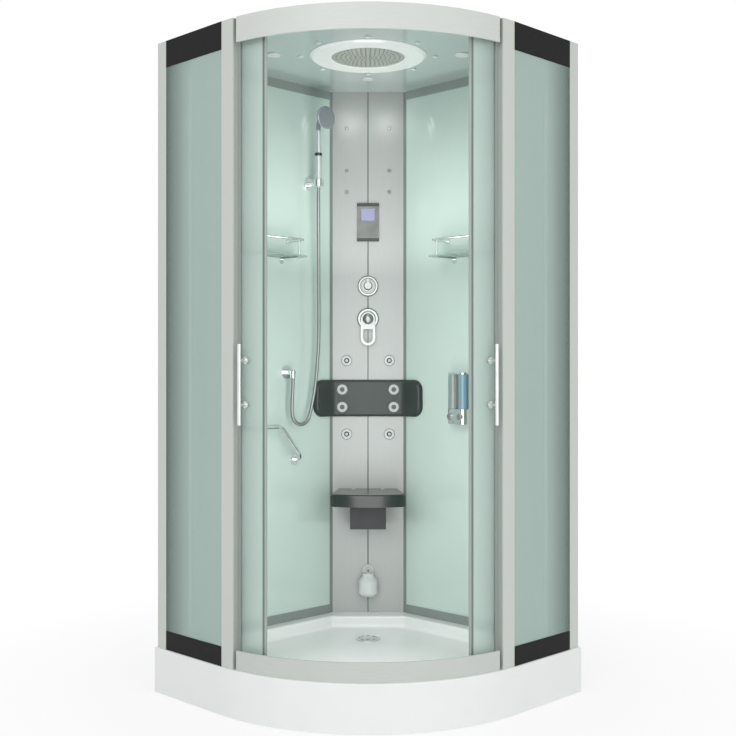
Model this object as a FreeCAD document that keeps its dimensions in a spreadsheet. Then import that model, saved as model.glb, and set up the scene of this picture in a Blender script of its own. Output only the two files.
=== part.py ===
import FreeCAD, Part

import math
import os
import re

import Sketcher
from FreeCAD import Placement, Rotation, Vector

# Steam shower cabin: a quarter-round cabin for a room corner, with two curved sliding doors.
# Millimetres, +Z up. The origin is the middle of the bounding box's underside. +Y points to the
# wall corner and -Y to the doors. At rest both doors stand open, the seat is down, the hand
# shower hangs in its bracket and the lever is shut.

SIZES = (
    # tray and cabin
    ("side", 1000),
    ("flat", 350),
    ("tray_height", 150),
    ("cabin_height", 2000),
    ("tray_skin", 5),
    ("rim_drop", 34),
    ("rim_wall", 78),
    ("rim_front", 90),
    ("rim_rear", 68),
    ("basin_corner", 120),
    ("tray_floor", 107),
    ("floor_board", 12),
    ("apron_skin", 4),
    ("apron_lift", 3),
    ("drain_y", 178),
    ("drain_hole", 43),
    ("drain_cover_radius", 45.5),
    ("drain_spigot", 20),
    ("spigot_length", 50),
    ("dish_mouth", 120),
    ("drain_axis", 44),
    ("frame_bar", 25),
    ("frame_skin", 2),
    ("frame_edge", 45),
    ("cross_bar_x", 150),
    ("foot_radius", 25),
    # glass walls and frame
    ("frame_inset", 7.5),
    ("profile_skin", 2),
    ("glass", 5),
    ("wall_inset", 29),
    ("wall_glass", 6),
    ("wall_rail", 32),
    ("wall_rail_depth", 14),
    ("wall_rail_proud", 4),
    ("profile_side", 47),
    ("profile_wall", 30),
    ("post_angle", 4.8),
    ("post_depth", 26.5),
    ("post_lip", 0.8),
    ("lip_skin", 4),
    ("rail_gap", 1.3),
    ("rail_skin", 6),
    ("top_rail_height", 78),
    ("bottom_rail_height", 60),
    ("side_rail_depth", 16.5),
    ("roof_skin", 4),
    ("roof_depth", 30),
    ("roof_gap", 6.2),
    ("dish_rim", 87),
    ("dish_wall", 19),
    ("cove", 16),
    # door track and doors
    ("door_inset", 38),
    ("door_tail", 49.57),
    ("door_angle", 44),
    ("hanger_angle", 5.5),
    ("seal_angle", 0.95),
    ("door_bottom", 172),
    ("door_drop", 40),
    ("track_over", 0.6),
    ("track_inset", 30),
    ("track_lip", 46),
    ("track_skin", 4),
    ("wheel_radius", 12),
    ("wheel_width", 12),
    ("axle", 4),
    ("bolt", 4),
    ("bolt_head", 3),
    ("guide_inset", 13),
    ("handle_reach", 31),
    ("handle_bar", 6),
    ("handle_low", 900),
    ("handle_tall", 248),
    ("handle_angle", 7.3),
    # column
    ("column_half", 137),
    ("sheet", 3),
    ("edge_strip", 3),
    ("seam", 5.6),
    ("pipe", 7),
    ("pipe_back", 24.5),
    ("jet_x", 80.5),
    ("jet_low", 825),
    ("jet_high", 1103),
    ("micro_drop", 167),
    ("socket", 20),
    ("ball", 10.2),
    ("panel_half", 41.5),
    ("panel_low", 1554),
    ("panel_tall", 144),
    ("display_half", 25),
    ("display_low", 1632),
    ("display_tall", 45),
    ("diverter_z", 1385),
    ("diverter_ring", 39.5),
    ("mixer_z", 1261),
    ("mixer_ring", 41.5),
    ("inlet_x", 50),
    ("inlet_radius", 10.48),
    ("inlet_length", 15),
    ("spindle", 5),
    ("hub_radius", 20),
    ("lever_half", 27.5),
    ("lever_drop", 101),
    ("back_z", 961),
    ("back_tall", 139),
    ("back_thick", 20),
    ("back_wing", 93),
    ("massage_x", 97),
    ("massage_dz", 33),
    ("seat_top", 620),
    ("seat_thick", 45),
    ("seat_front", 271),
    ("seat_rear", 230),
    ("seat_reach", 238),
    ("seat_gap", 12),
    ("hinge_out", 30),
    ("hinge_pin", 5),
    ("bracket_half", 66),
    ("bracket_low", 483),
    ("bracket_out", 137),
    ("steam_z", 308),
    ("cup_radius", 36),
    ("cup_low", 222),
    ("cup_tall", 84),
    ("cup_neck", 15),
    # roof fittings
    ("shower_y", -97),
    ("ring_outer", 196),
    ("ring_inner", 121.5),
    ("ring_depth", 8),
    ("nozzle_circle", 225),
    ("lamp_x", 315),
    ("lamp_y", -115),
    ("speaker_y", 197),
    # wall fittings
    ("shelf_start", 400),
    ("shelf_end", 650),
    ("shelf_depth", 110),
    ("shelf_z", 1474),
    ("shelf_glass", 6),
    ("shelf_rail_z", 1535),
    ("grab_radius", 8),
    ("soap_t", 487),
    ("soap_tank", 20.5),
    ("soap_apart", 46),
    ("soap_out", 27),
    ("soap_skin", 2),
    ("soap_low", 928),
    ("soap_tall", 124),
    ("soap_foot", 54),
    ("soap_plate", 5),
    ("hand_t", 312),
    ("hand_out", 54),
    ("hand_z", 1737),
    ("holder_up", 18),
    ("handle_seat", 11),
    ("handle_grip", 13),
    ("grip_up", 128),
    ("neck_up", 165),
    ("neck_radius", 8.5),
    ("neck_bend", 22),
    ("head_up", 253),
    ("head_out", 99),
    ("head_thick", 22),
    ("head_radius", 42),
    ("outlet_t", 424.5),
    ("outlet_z", 1060),
    ("hose_radius", 6.5),
)

# The same few places again and again, worked out from the sizes.
RADIUS = "(side - flat)"
TOP = "(tray_height + cabin_height)"
CORNER_Y = "((flat*sqrt(2) + side - flat)/2)"
ARC_Y = "((side - flat - flat*sqrt(2))/2)"
WALL_Y = f"({CORNER_Y} - wall_inset*sqrt(2))"
COLUMN_Y = f"({WALL_Y} - column_half)"
FRAME_RADIUS = f"({RADIUS} - frame_inset)"
FRAME_EDGE = "(side - frame_inset)"
FLOOR_UNDER = "(tray_floor - floor_board)"
DOOR_RADIUS = f"({RADIUS} - door_inset)"
TRACK_RADIUS = f"({DOOR_RADIUS} - track_inset)"
GUIDE_RADIUS = f"({DOOR_RADIUS} - guide_inset)"
RAIL_ANGLE = "(45 - post_angle - rail_gap)"
# angles of an open leaf's two ends, and of the track's end
DOOR_END = f"(acos((door_tail - flat)/{DOOR_RADIUS})/(1 deg) - 45)"
DOOR_OPEN = f"({DOOR_END} - door_angle)"
TRACK_END = f"({DOOR_END} + track_over)"
DOOR_TOP = f"({TOP} - door_drop)"
CEILING = f"({TOP} - roof_depth)"
# clearances: what moves past its seat, and a shaft in its hole
RUN = 0.3
FIT = 0.06

doc = FreeCAD.newDocument("SteamShower")
sheet = doc.addObject("Spreadsheet::Sheet", "Dims")
for row, (name, number) in enumerate(SIZES, start=1):
    sheet.set(f"A{row}", name)
    sheet.set(f"B{row}", str(number))
    sheet.setAlias(f"B{row}", name)
doc.recompute()

WORD = re.compile(r"\b(" + "|".join(name for name, _ in SIZES) + r")\b")
nodes = {}


# --------------------------------------------------------------------------- expressions, places
def terms(text):
    """The words of a formula as cells of the sheet."""
    return WORD.sub(r"Dims.\1", str(text))


def value(text):
    """A formula's number."""
    result = sheet.evalExpression(terms(text))
    return float(getattr(result, "Value", result))


def bind(thing, **formulas):
    for prop, text in formulas.items():
        thing.setExpression(prop, terms(text))


# A frame is a turn and the place of its origin. Wall frames: x along the wall, y off it.
ROW = (Rotation(), "0", "0", "0")
ARC = (Rotation(), "0", ARC_Y, "0")
CORNER = (Rotation(Vector(0, 0, 1), -135), "0", CORNER_Y, "0")
COLUMN = (Rotation(Vector(1, 0, 0), 90), "0", COLUMN_Y, "0")
LEFT_WALL = (Rotation(Vector(0, 0, 1), -135), "0", WALL_Y, "0")
RIGHT_WALL = (Rotation(Vector(0, 0, 1), 135), "0", WALL_Y, "0")

UP = Rotation()
TO_X = Rotation(Vector(0, 1, 0), 90)
TO_Y = Rotation(Vector(1, 0, 0), -90)
TO_FRONT = Rotation(Vector(1, 0, 0), 90)


def place(thing, frame, at=("0", "0", "0"), turn=UP):
    """Put a thing at a point of a frame, turned about that point."""
    rotation, *origin = frame
    axes = [rotation.multVec(Vector(*unit)) for unit in ((1, 0, 0), (0, 1, 0), (0, 0, 1))]
    thing.Placement = Placement(Vector(), rotation.multiply(turn))
    for i, letter in enumerate("xyz"):
        sums = [origin[i]]
        for axis, offset in zip(axes, at):
            if abs(axis[i]) > 1e-9:
                sums.append(f"({axis[i]:.12g})*({offset})")
        thing.setExpression(f".Placement.Base.{letter}", terms(" + ".join(sums)))


# ------------------------------------------------------------------------------------- outlines
def quadrant(inset):
    """The tray's outline in the corner frame, drawn in by an inset."""
    far = f"side - ({inset})"
    return [
        (inset, inset),
        (far, inset),
        (far, "flat", f"{RADIUS} - ({inset})"),
        ("flat", far),
        (inset, far),
    ]


def basin(grow):
    """The basin's outline in the corner frame, with a cut corner in front of the column."""
    low = f"rim_wall - ({grow})"
    far = f"side - rim_front + ({grow})"
    turn = f"basin_corner + ({grow})"
    cut_off = f"sqrt(2)*(wall_inset*sqrt(2) + column_half + rim_rear - ({grow})) - ({low})"
    return [
        (cut_off, low),
        (f"{far} - ({turn})", low, turn),
        (far, f"{low} + {turn}"),
        (far, "flat", f"{RADIUS} - rim_front + ({grow})"),
        ("flat", far),
        (f"{low} + {turn}", far, turn),
        (low, f"{far} - ({turn})"),
        (low, cut_off),
    ]


def side_band(outer, inner, start):
    """A strip along the three free sides between two insets, in the corner frame."""
    out = f"side - ({outer})"
    inn = f"side - ({inner})"
    return [
        (out, start),
        (out, "flat", f"{RADIUS} - ({outer})"),
        ("flat", out),
        (start, out),
        (start, inn),
        ("flat", inn, f"{RADIUS} - ({inner})", -1),
        (inn, "flat"),
        (inn, start),
    ]


def on_arc(radius, angle):
    """A point at an angle from the front, positive to the right, in the arc frame."""
    return (f"({radius})*sin({angle})", f"-({radius})*cos({angle})")


def arc_band(outer, inner, start, end):
    return [
        (*on_arc(outer, start), outer),
        on_arc(outer, end),
        (*on_arc(inner, end), inner, -1),
        on_arc(inner, start),
    ]


def both_ways(angle):
    return (f"-({angle})", f"({angle})")


def rectangle(x0, y0, x1, y1):
    return [(x0, y0), (x1, y0), (x1, y1), (x0, y1)]


def circle(x, y, radius):
    return ("circle", x, y, radius)


def rounded(x0, y0, x1, y1, corner):
    """A rectangle with four round corners."""
    return [
        (f"({x0}) + ({corner})", y0),
        (f"({x1}) - ({corner})", y0, corner),
        (x1, f"({y0}) + ({corner})"),
        (x1, f"({y1}) - ({corner})", corner),
        (f"({x1}) - ({corner})", y1),
        (f"({x0}) + ({corner})", y1, corner),
        (x0, f"({y1}) - ({corner})"),
        (x0, f"({y0}) + ({corner})", corner),
    ]


# ------------------------------------------------------------------------------ bodies, sketches
def body(name, frame=ROW, at=("0", "0", "0"), turn=UP):
    made = doc.addObject("PartDesign::Body", name)
    place(made, frame, at, turn)
    return made


def fix(sketch, kind, *numbers, formula):
    index = sketch.addConstraint(Sketcher.Constraint(kind, *numbers, value(formula)))
    sketch.setExpression(f"Constraints[{index}]", terms(formula))


def draw_loop(sketch, loop):
    """A closed loop: points, each with the radius and turn of an arc that starts there."""
    first = sketch.GeometryCount
    spots = [(value(point[0]), value(point[1])) for point in loop]
    ends = []
    for i, point in enumerate(loop):
        (ax, ay), (bx, by) = spots[i], spots[(i + 1) % len(loop)]
        if len(point) == 2:
            sketch.addGeometry(Part.LineSegment(Vector(ax, ay, 0), Vector(bx, by, 0)), False)
            ends.append((1, 2))
            continue
        radius = value(point[2])
        turn = point[3] if len(point) > 3 else 1
        chord = math.hypot(bx - ax, by - ay)
        rise = turn * math.sqrt(max(radius ** 2 - chord ** 2 / 4, 0)) / chord
        cx = (ax + bx) / 2 - (by - ay) * rise
        cy = (ay + by) / 2 + (bx - ax) * rise
        angles = [math.atan2(ay - cy, ax - cx), math.atan2(by - cy, bx - cx)]
        if turn < 0:
            angles.reverse()
        arc = Part.ArcOfCircle(Part.Circle(Vector(cx, cy, 0), Vector(0, 0, 1), radius), *angles)
        sketch.addGeometry(arc, False)
        ends.append((1, 2) if turn > 0 else (2, 1))
    for i, point in enumerate(loop):
        after = (i + 1) % len(loop)
        sketch.addConstraint(
            Sketcher.Constraint("Coincident", first + i, ends[i][1], first + after, ends[after][0])
        )
    for i, point in enumerate(loop):
        fix(sketch, "DistanceX", -1, 1, first + i, ends[i][0], formula=point[0])
        fix(sketch, "DistanceY", -1, 1, first + i, ends[i][0], formula=point[1])
        if len(point) > 2:
            fix(sketch, "Radius", first + i, formula=point[2])


def draw_circle(sketch, x, y, radius):
    index = sketch.GeometryCount
    centre = Vector(value(x), value(y), 0)
    sketch.addGeometry(Part.Circle(centre, Vector(0, 0, 1), value(radius)), False)
    fix(sketch, "DistanceX", -1, 1, index, 3, formula=x)
    fix(sketch, "DistanceY", -1, 1, index, 3, formula=y)
    fix(sketch, "Radius", index, formula=radius)


def draw(owner, loops, start, plane="XY_Plane"):
    sketch = owner.newObject("Sketcher::SketchObject", f"{owner.Name}_outline")
    flat_plane = next(p for p in owner.Origin.OriginFeatures if p.Role == plane)
    sketch.AttachmentSupport = [(flat_plane, "")]
    sketch.MapMode = "FlatFace"
    sketch.setExpression(".AttachmentOffset.Base.z", terms(start))
    doc.recompute()
    for loop in loops:
        if loop[0] == "circle":
            draw_circle(sketch, *loop[1:])
        else:
            draw_loop(sketch, loop)
    doc.recompute()
    return sketch


def pad(owner, loops, start, length, plane="XY_Plane"):
    """Material from a plane at `start`, along the plane's normal."""
    feature = owner.newObject("PartDesign::Pad", f"{owner.Name}_pad")
    feature.Profile = draw(owner, loops, start, plane)
    bind(feature, Length=length)
    doc.recompute()
    return feature


def pocket(owner, loops, start, length, up=False):
    """A hollow from a level plane at `start`, down or up."""
    before = owner.Tip.Shape.Volume
    feature = owner.newObject("PartDesign::Pocket", f"{owner.Name}_pocket")
    feature.Profile = draw(owner, loops, start)
    feature.Reversed = up
    bind(feature, Length=length)
    doc.recompute()
    if feature.Shape.Volume > before - 0.001:
        raise ValueError(f"{owner.Name}: a pocket cuts nothing")
    return feature


def turned(name, points, frame=ROW, at=("0", "0", "0"), turn=UP):
    """A body turned about its own Z axis from points (radius, height)."""
    made = body(name, frame, at, turn)
    feature = made.newObject("PartDesign::Revolution", f"{name}_turned")
    feature.Profile = draw(made, [points], "0", "XZ_Plane")
    feature.ReferenceAxis = (feature.Profile[0], ["V_Axis"])
    feature.Angle = 360
    doc.recompute()
    return made


def round_edges(owner, radius, chosen):
    """Round the edges that a test picks out."""
    base = owner.Tip
    names = [f"Edge{i}" for i, edge in enumerate(base.Shape.Edges, 1) if chosen(edge.BoundBox)]
    if not names:
        raise ValueError(f"{owner.Name}: no edge to round")
    feature = owner.newObject("PartDesign::Fillet", f"{owner.Name}_round")
    feature.Base = (base, names)
    bind(feature, Radius=radius)
    doc.recompute()


def at_level(height):
    level = value(height)
    return lambda box: abs(box.ZMin - level) < 0.01 and abs(box.ZMax - level) < 0.01


# --------------------------------------------------------------------------- primitives, booleans
def add(kind, frame, at, turn, **formulas):
    made = doc.addObject(kind, kind.split("::")[1])
    bind(made, **formulas)
    place(made, frame, at, turn)
    return made


def block(frame, low, high, turn=UP):
    """A box between two corners of a frame."""
    spans = [f"({b}) - ({a})" for a, b in zip(low, high)]
    return add("Part::Box", frame, low, turn, Length=spans[0], Width=spans[1], Height=spans[2])


def rod(frame, at, radius, length, turn=UP):
    return add("Part::Cylinder", frame, at, turn, Radius=radius, Height=length)


def knuckle(frame, at, radius):
    return add("Part::Sphere", frame, at, UP, Radius=radius)


def fuse(*members):
    made = doc.addObject("Part::MultiFuse", "Fuse")
    made.Shapes = list(members)
    made.Refine = True
    return made


def group(*members):
    made = doc.addObject("Part::Compound", "Group")
    made.Links = list(members)
    return made


def cut(base, *tools):
    made = doc.addObject("Part::Cut", "Cut")
    made.Base = base
    made.Tool = tools[0] if len(tools) == 1 else group(*tools)
    return made


def common(first, second):
    made = doc.addObject("Part::MultiCommon", "Common")
    made.Shapes = [first, second]
    return made


def mirrored(thing):
    """The same thing on the other side of the middle plane."""
    made = doc.addObject("Part::Mirroring", "Mirrored")
    made.Source = thing
    made.Normal = Vector(1, 0, 0)
    return made


def pair(thing):
    return group(thing, mirrored(thing))


def node(name, thing):
    thing.Label = name
    nodes[name] = thing


# ------------------------------------------------------------------------------------------ tubes
def bent_path(points, bends):
    """Straight runs joined by tangent arcs, one radius for each inner point."""
    edges = []
    last = points[0]
    for before, point, after, bend in zip(points, points[1:], points[2:], bends):
        coming = (point - before).normalize()
        going = (after - point).normalize()
        half = coming.getAngle(going) / 2
        reach = bend * math.tan(half)
        start = point - coming * reach
        end = point + going * reach
        inward = (going - coming).normalize()
        middle = point + inward * (bend / math.cos(half) - bend)
        edges.append(Part.LineSegment(last, start).toShape())
        edges.append(Part.Arc(start, middle, end).toShape())
        last = end
    edges.append(Part.LineSegment(last, points[-1]).toShape())
    return Part.Wire(edges)


def tube(points, radius, bends):
    """A solid round bar along a bent path, and the path's length."""
    path = bent_path(points, bends)
    along = (points[1] - points[0]).normalize()
    ring = Part.Wire(Part.Circle(points[0], along, radius).toShape())
    solid = path.makePipeShell([ring], True, False)
    return solid, path.Length


def limp_bends(points):
    """The largest arcs that the runs of a hose allow."""
    bends = []
    for before, point, after in zip(points, points[1:], points[2:]):
        coming = point - before
        going = after - point
        half = coming.getAngle(going) / 2
        bends.append(0.45 * min(coming.Length, going.Length) / math.tan(half))
    return bends


def solid_feature(name, solid, frame):
    made = doc.addObject("Part::Feature", name)
    made.Shape = solid
    place(made, frame)
    return made


def bar_along(name, frame, places, radius, bend):
    """A round bar through places of a frame, each a triple of formulas."""
    points = [Vector(*(value(part) for part in spot)) for spot in places]
    solid, _ = tube(points, value(radius), [bend] * (len(points) - 2))
    return solid_feature(name, solid, frame)


# ------------------------------------------------------------------------------- tray and floor
def shower_tray():
    tray = body("tray", CORNER)
    under = "tray_height - rim_drop"
    pad(tray, [quadrant("0")], under, "rim_drop")
    pocket(tray, [quadrant("tray_skin")], under, "rim_drop - tray_skin", up=True)
    pad(tray, [basin("tray_skin")], FLOOR_UNDER, f"tray_height - 1 - {FLOOR_UNDER}")
    pocket(tray, [basin("0")], "tray_height", "tray_height - tray_floor")
    top = at_level("tray_height")
    floor = at_level("tray_floor")
    inner = value("rim_wall") - 1
    outer = value("side - rim_front") + 1

    def inside(box):
        return box.XMin > inner and box.YMin > inner and box.XMax < outer and box.YMax < outer

    def free_side(box):
        return max(box.XMax, box.YMax) > value("side") - 0.1 and min(box.XMax, box.YMax) > 1

    round_edges(tray, "14", lambda box: floor(box) and inside(box))
    round_edges(tray, "9", lambda box: top(box) and inside(box))
    round_edges(tray, "4", lambda box: top(box) and free_side(box))
    seat = "tray_floor - 6"
    dish = add(
        "Part::Cone",
        ROW,
        ("0", "drain_y", seat),
        UP,
        Radius1="drain_cover_radius + 1",
        Radius2="dish_mouth",
        Height="6",
    )
    hole = rod(ROW, ("0", "drain_y", FLOOR_UNDER), "drain_hole", "floor_board")
    node("shower_tray", cut(tray, dish, hole))


def front_apron():
    apron = body("front_apron", CORNER)
    joint = "tray_height - rim_drop"
    start = "tray_skin + 1"
    pad(apron, [side_band("0", "apron_skin", "0")], "apron_lift", f"{joint} - apron_lift")
    tongue = side_band("tray_skin + 0.4", "tray_skin + 0.4 + apron_skin", start)
    pad(apron, [tongue], f"{joint} - 30", "50")
    web = side_band("1", "tray_skin + 0.4 + apron_skin", start)
    pad(apron, [web], f"{joint} - 30", "4")
    node("front_apron", apron)


def base_frame():
    near = "frame_edge"
    far = "side - frame_edge"
    inner = "frame_edge + frame_bar"
    back = "side - frame_edge - frame_bar"
    front_y = f"({CORNER_Y} - (side - frame_edge + flat)/sqrt(2))"
    front_half = "((side - frame_edge - flat)/sqrt(2))"
    rear_y = f"({CORNER_Y} - frame_edge*sqrt(2) - cross_bar_x - frame_bar)"
    bars = [
        (CORNER, near, near, far, inner),
        (CORNER, near, near, inner, far),
        (CORNER, back, near, far, "flat + 8"),
        (CORNER, near, back, "flat + 8", far),
        (ROW, f"-{front_half}", front_y, front_half, f"{front_y} + frame_bar"),
        (ROW, "cross_bar_x - frame_bar/2", front_y, "cross_bar_x + frame_bar/2", rear_y),
        (ROW, "-cross_bar_x - frame_bar/2", front_y, "-cross_bar_x + frame_bar/2", rear_y),
    ]
    low = f"{FLOOR_UNDER} - frame_bar"
    skins = []
    hollows = []
    for frame, x0, y0, x1, y1 in bars:
        skins.append(block(frame, (x0, y0, low), (x1, y1, FLOOR_UNDER)))
        hollow_low = (f"{x0} + frame_skin", f"{y0} + frame_skin", f"{low} - 1")
        hollow_high = (f"{x1} - frame_skin", f"{y1} - frame_skin", f"{FLOOR_UNDER} - frame_skin")
        hollows.append(block(frame, hollow_low, hollow_high))
    node("base_frame", cut(fuse(*skins), *hollows))

    middle = "frame_edge + frame_bar/2"
    far_foot = "side - frame_edge - frame_bar/2"
    feet = [
        (CORNER, "frame_edge + 60", middle),
        (CORNER, middle, "frame_edge + 200"),
        (CORNER, far_foot, "frame_edge + 80"),
        (CORNER, "frame_edge + 80", far_foot),
        (ROW, "cross_bar_x", f"{front_y} + frame_bar/2"),
        (ROW, "-cross_bar_x", f"{front_y} + frame_bar/2"),
    ]
    web = f"{FLOOR_UNDER} - frame_skin"
    profile = [
        ("0", "0"),
        ("foot_radius", "0"),
        ("foot_radius", "4"),
        ("foot_radius - 7", "8"),
        ("6", "8"),
        ("6", f"{web} - 8"),
        ("10", f"{web} - 8"),
        ("10", web),
        ("0", web),
    ]
    turned_feet = [turned(f"foot_{i}", profile, frame, (x, y, "0")) for i, (frame, x, y) in enumerate(feet)]
    node("levelling_feet", group(*turned_feet))


def drain():
    place_at = ("0", "drain_y", "0")
    top = FLOOR_UNDER
    inner = "drain_hole + 0.2"
    low = "drain_axis - drain_spigot + 2"
    profile = [
        ("0", f"{low} - 4"),
        ("drain_hole + 4", f"{low} - 4"),
        ("drain_hole + 4", f"{top} - 5"),
        ("drain_hole + 13", f"{top} - 5"),
        ("drain_hole + 13", top),
        (inner, top),
        (inner, low),
        ("0", low),
    ]
    cup = turned("trap_cup", profile, ROW, place_at)
    collar_end = "drain_hole + 16"
    collar = rod(ROW, ("0", "drain_y + drain_hole + 1", "drain_axis"), "drain_spigot + 2", "15", TO_Y)
    spigot = rod(ROW, ("0", f"drain_y + {collar_end}", "drain_axis"), "drain_spigot", "spigot_length", TO_Y)
    hub = rod(ROW, ("0", "drain_y", low), inner, f"{top} - ({low})")
    reach = "drain_hole + spigot_length"
    bore = rod(ROW, ("0", "drain_y + 20", "drain_axis"), "drain_spigot - 2.5", reach, TO_Y)
    node("drain_trap", cut(fuse(cup, collar, spigot), hub, bore))

    cover = body("drain_cover", ROW, place_at)
    seat = f"tray_floor - 6 + {RUN}"
    holes = [circle(f"30*cos({i}*45)", f"30*sin({i}*45)", "5") for i in range(8)]
    pad(cover, [circle("0", "0", "drain_cover_radius"), *holes], seat, "4")
    rings = [circle("0", "0", f"drain_hole - {inset}") for inset in (2, 5)]
    pad(cover, rings, f"{seat} - 14", "14.5")
    node("drain_cover", cover)


# ------------------------------------------------------------------------------------ the frame
def side_posts():
    span = f"{TOP} - tray_height"
    profile = body("wall_profile", CORNER)
    x0 = f"{FRAME_EDGE} - profile_wall"
    y1 = "frame_inset + profile_side"
    skin = "profile_skin"
    inner = rectangle(f"{x0} + {skin}", f"frame_inset + {skin}", f"{FRAME_EDGE} - {skin}", f"{y1} - {skin}")
    pad(profile, [rectangle(x0, "frame_inset", FRAME_EDGE, y1), inner], "tray_height", span)
    post = body("door_post", ARC)
    outer = FRAME_RADIUS
    inside = f"({FRAME_RADIUS} - post_depth)"
    end = "-(45 - post_angle)"
    outline = arc_band(outer, inside, "-45", end)
    hollow = arc_band(f"{outer} - {skin}", f"{inside} + {skin}", "-44.8", f"{end} - 0.2")
    pad(post, [outline, hollow], "tray_height", span)
    # a thin lip beside the inner face stands towards the doors
    lip = arc_band(f"{inside} + lip_skin", inside, f"{end} - 0.1", f"{end} + post_lip")
    pad(post, [lip], "tray_height", span)
    node("side_posts", group(profile, mirrored(profile), post, mirrored(post)))


def top_rail():
    rail = body("top_rail", ARC)
    front = both_ways(RAIL_ANGLE)
    whole = both_ways(TRACK_END)
    behind = f"({FRAME_RADIUS} - rail_skin)"
    back = f"({TRACK_RADIUS} - 16)"
    lip = f"{TOP} - track_lip - track_skin"
    web = f"{TOP} - roof_skin - track_skin"
    pad(rail, [arc_band(FRAME_RADIUS, behind, *front)], f"{TOP} - top_rail_height", "top_rail_height")
    pad(rail, [arc_band(f"{behind} + 1", back, *front)], web, "track_skin")
    pad(rail, [arc_band(f"{TRACK_RADIUS} + 18", back, *whole)], web, "track_skin")
    pad(rail, [arc_band(f"{back} + track_skin", back, *whole)], lip, f"{web} + 1 - ({lip})")
    pad(rail, [arc_band(f"{TRACK_RADIUS} + 10", back, *whole)], lip, "track_skin")
    node("top_rail", rail)


def bottom_rail():
    rail = body("bottom_rail", ARC)
    front = both_ways(RAIL_ANGLE)
    whole = both_ways(TRACK_END)
    behind = f"({FRAME_RADIUS} - rail_skin)"
    pad(rail, [arc_band(FRAME_RADIUS, behind, *front)], "tray_height", "bottom_rail_height")
    pad(rail, [arc_band(f"{behind} + 1", f"{GUIDE_RADIUS} - 7", *front)], "tray_height", "4")
    pad(rail, [arc_band(f"{GUIDE_RADIUS} + 7", f"{GUIDE_RADIUS} - 7", *whole)], "tray_height", "4")
    pad(rail, [arc_band(GUIDE_RADIUS, f"{GUIDE_RADIUS} - 3", *whole)], "tray_height", "16")
    node("bottom_rail", rail)


def straight_rails():
    rails = []
    start = "column_half*sqrt(2) + wall_inset + 11.4"
    end = f"{FRAME_EDGE} - profile_wall"
    face = "wall_inset + wall_rail_proud"
    for low in ("tray_height", f"{CEILING} - wall_rail"):
        outer = block(CORNER, (start, f"{face} - wall_rail_depth", low), (end, face, f"{low} + wall_rail"))
        rails.append(outer)
    glass_in = f"{FRAME_EDGE} - glass"
    for low, high in (
        ("tray_height", "tray_height + bottom_rail_height"),
        (f"{TOP} - top_rail_height", f"{TOP} - roof_skin"),
    ):
        y0, y1 = "frame_inset + profile_side", "flat"
        skin = block(CORNER, (f"{glass_in} - side_rail_depth", y0, low), (glass_in, y1, high))
        bore = block(
            CORNER,
            (f"{glass_in} - side_rail_depth + profile_skin", f"{y0} - 1", f"{low} + profile_skin"),
            (f"{glass_in} - profile_skin", f"{y1} + 1", f"{high} - profile_skin"),
        )
        rails.append(cut(skin, bore))
    node("straight_rails", group(*rails, *(mirrored(rail) for rail in rails)))


def side_glass():
    pane = body("side_pane", CORNER)
    outline = rectangle(f"{FRAME_EDGE} - glass", "frame_inset + profile_side", FRAME_EDGE, "flat")
    pad(pane, [outline], "tray_height", f"{TOP} - tray_height")
    node("side_glass", pair(pane))


def wall_panels():
    panel = body("wall_pane", CORNER)
    start = "column_half*sqrt(2) + wall_inset + 11.4"
    outline = rectangle(start, "wall_inset - wall_glass", f"{FRAME_EDGE} - profile_wall", "wall_inset")
    low = "tray_height + wall_rail"
    pad(panel, [outline], low, f"{CEILING} - wall_rail - ({low})")
    node("wall_panels", pair(panel))


# ------------------------------------------------------------------------------------ the column
STRIP_T = "(column_half*sqrt(2) + 11.2)"
MICRO_JETS = [f"({TOP} - micro_drop{low})" for low in ("", " - 161", " - 242")]


def strip_face(sign):
    """The two ends of an edge strip's front face in plan: on the wall glass and on the sheet."""
    on_glass = (f"{sign}{STRIP_T}/sqrt(2)", f"{WALL_Y} - {STRIP_T}/sqrt(2)")
    on_sheet = (f"{sign}(column_half - edge_strip + 0.2)", f"{COLUMN_Y} - 1.5")
    return on_glass, on_sheet


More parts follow.
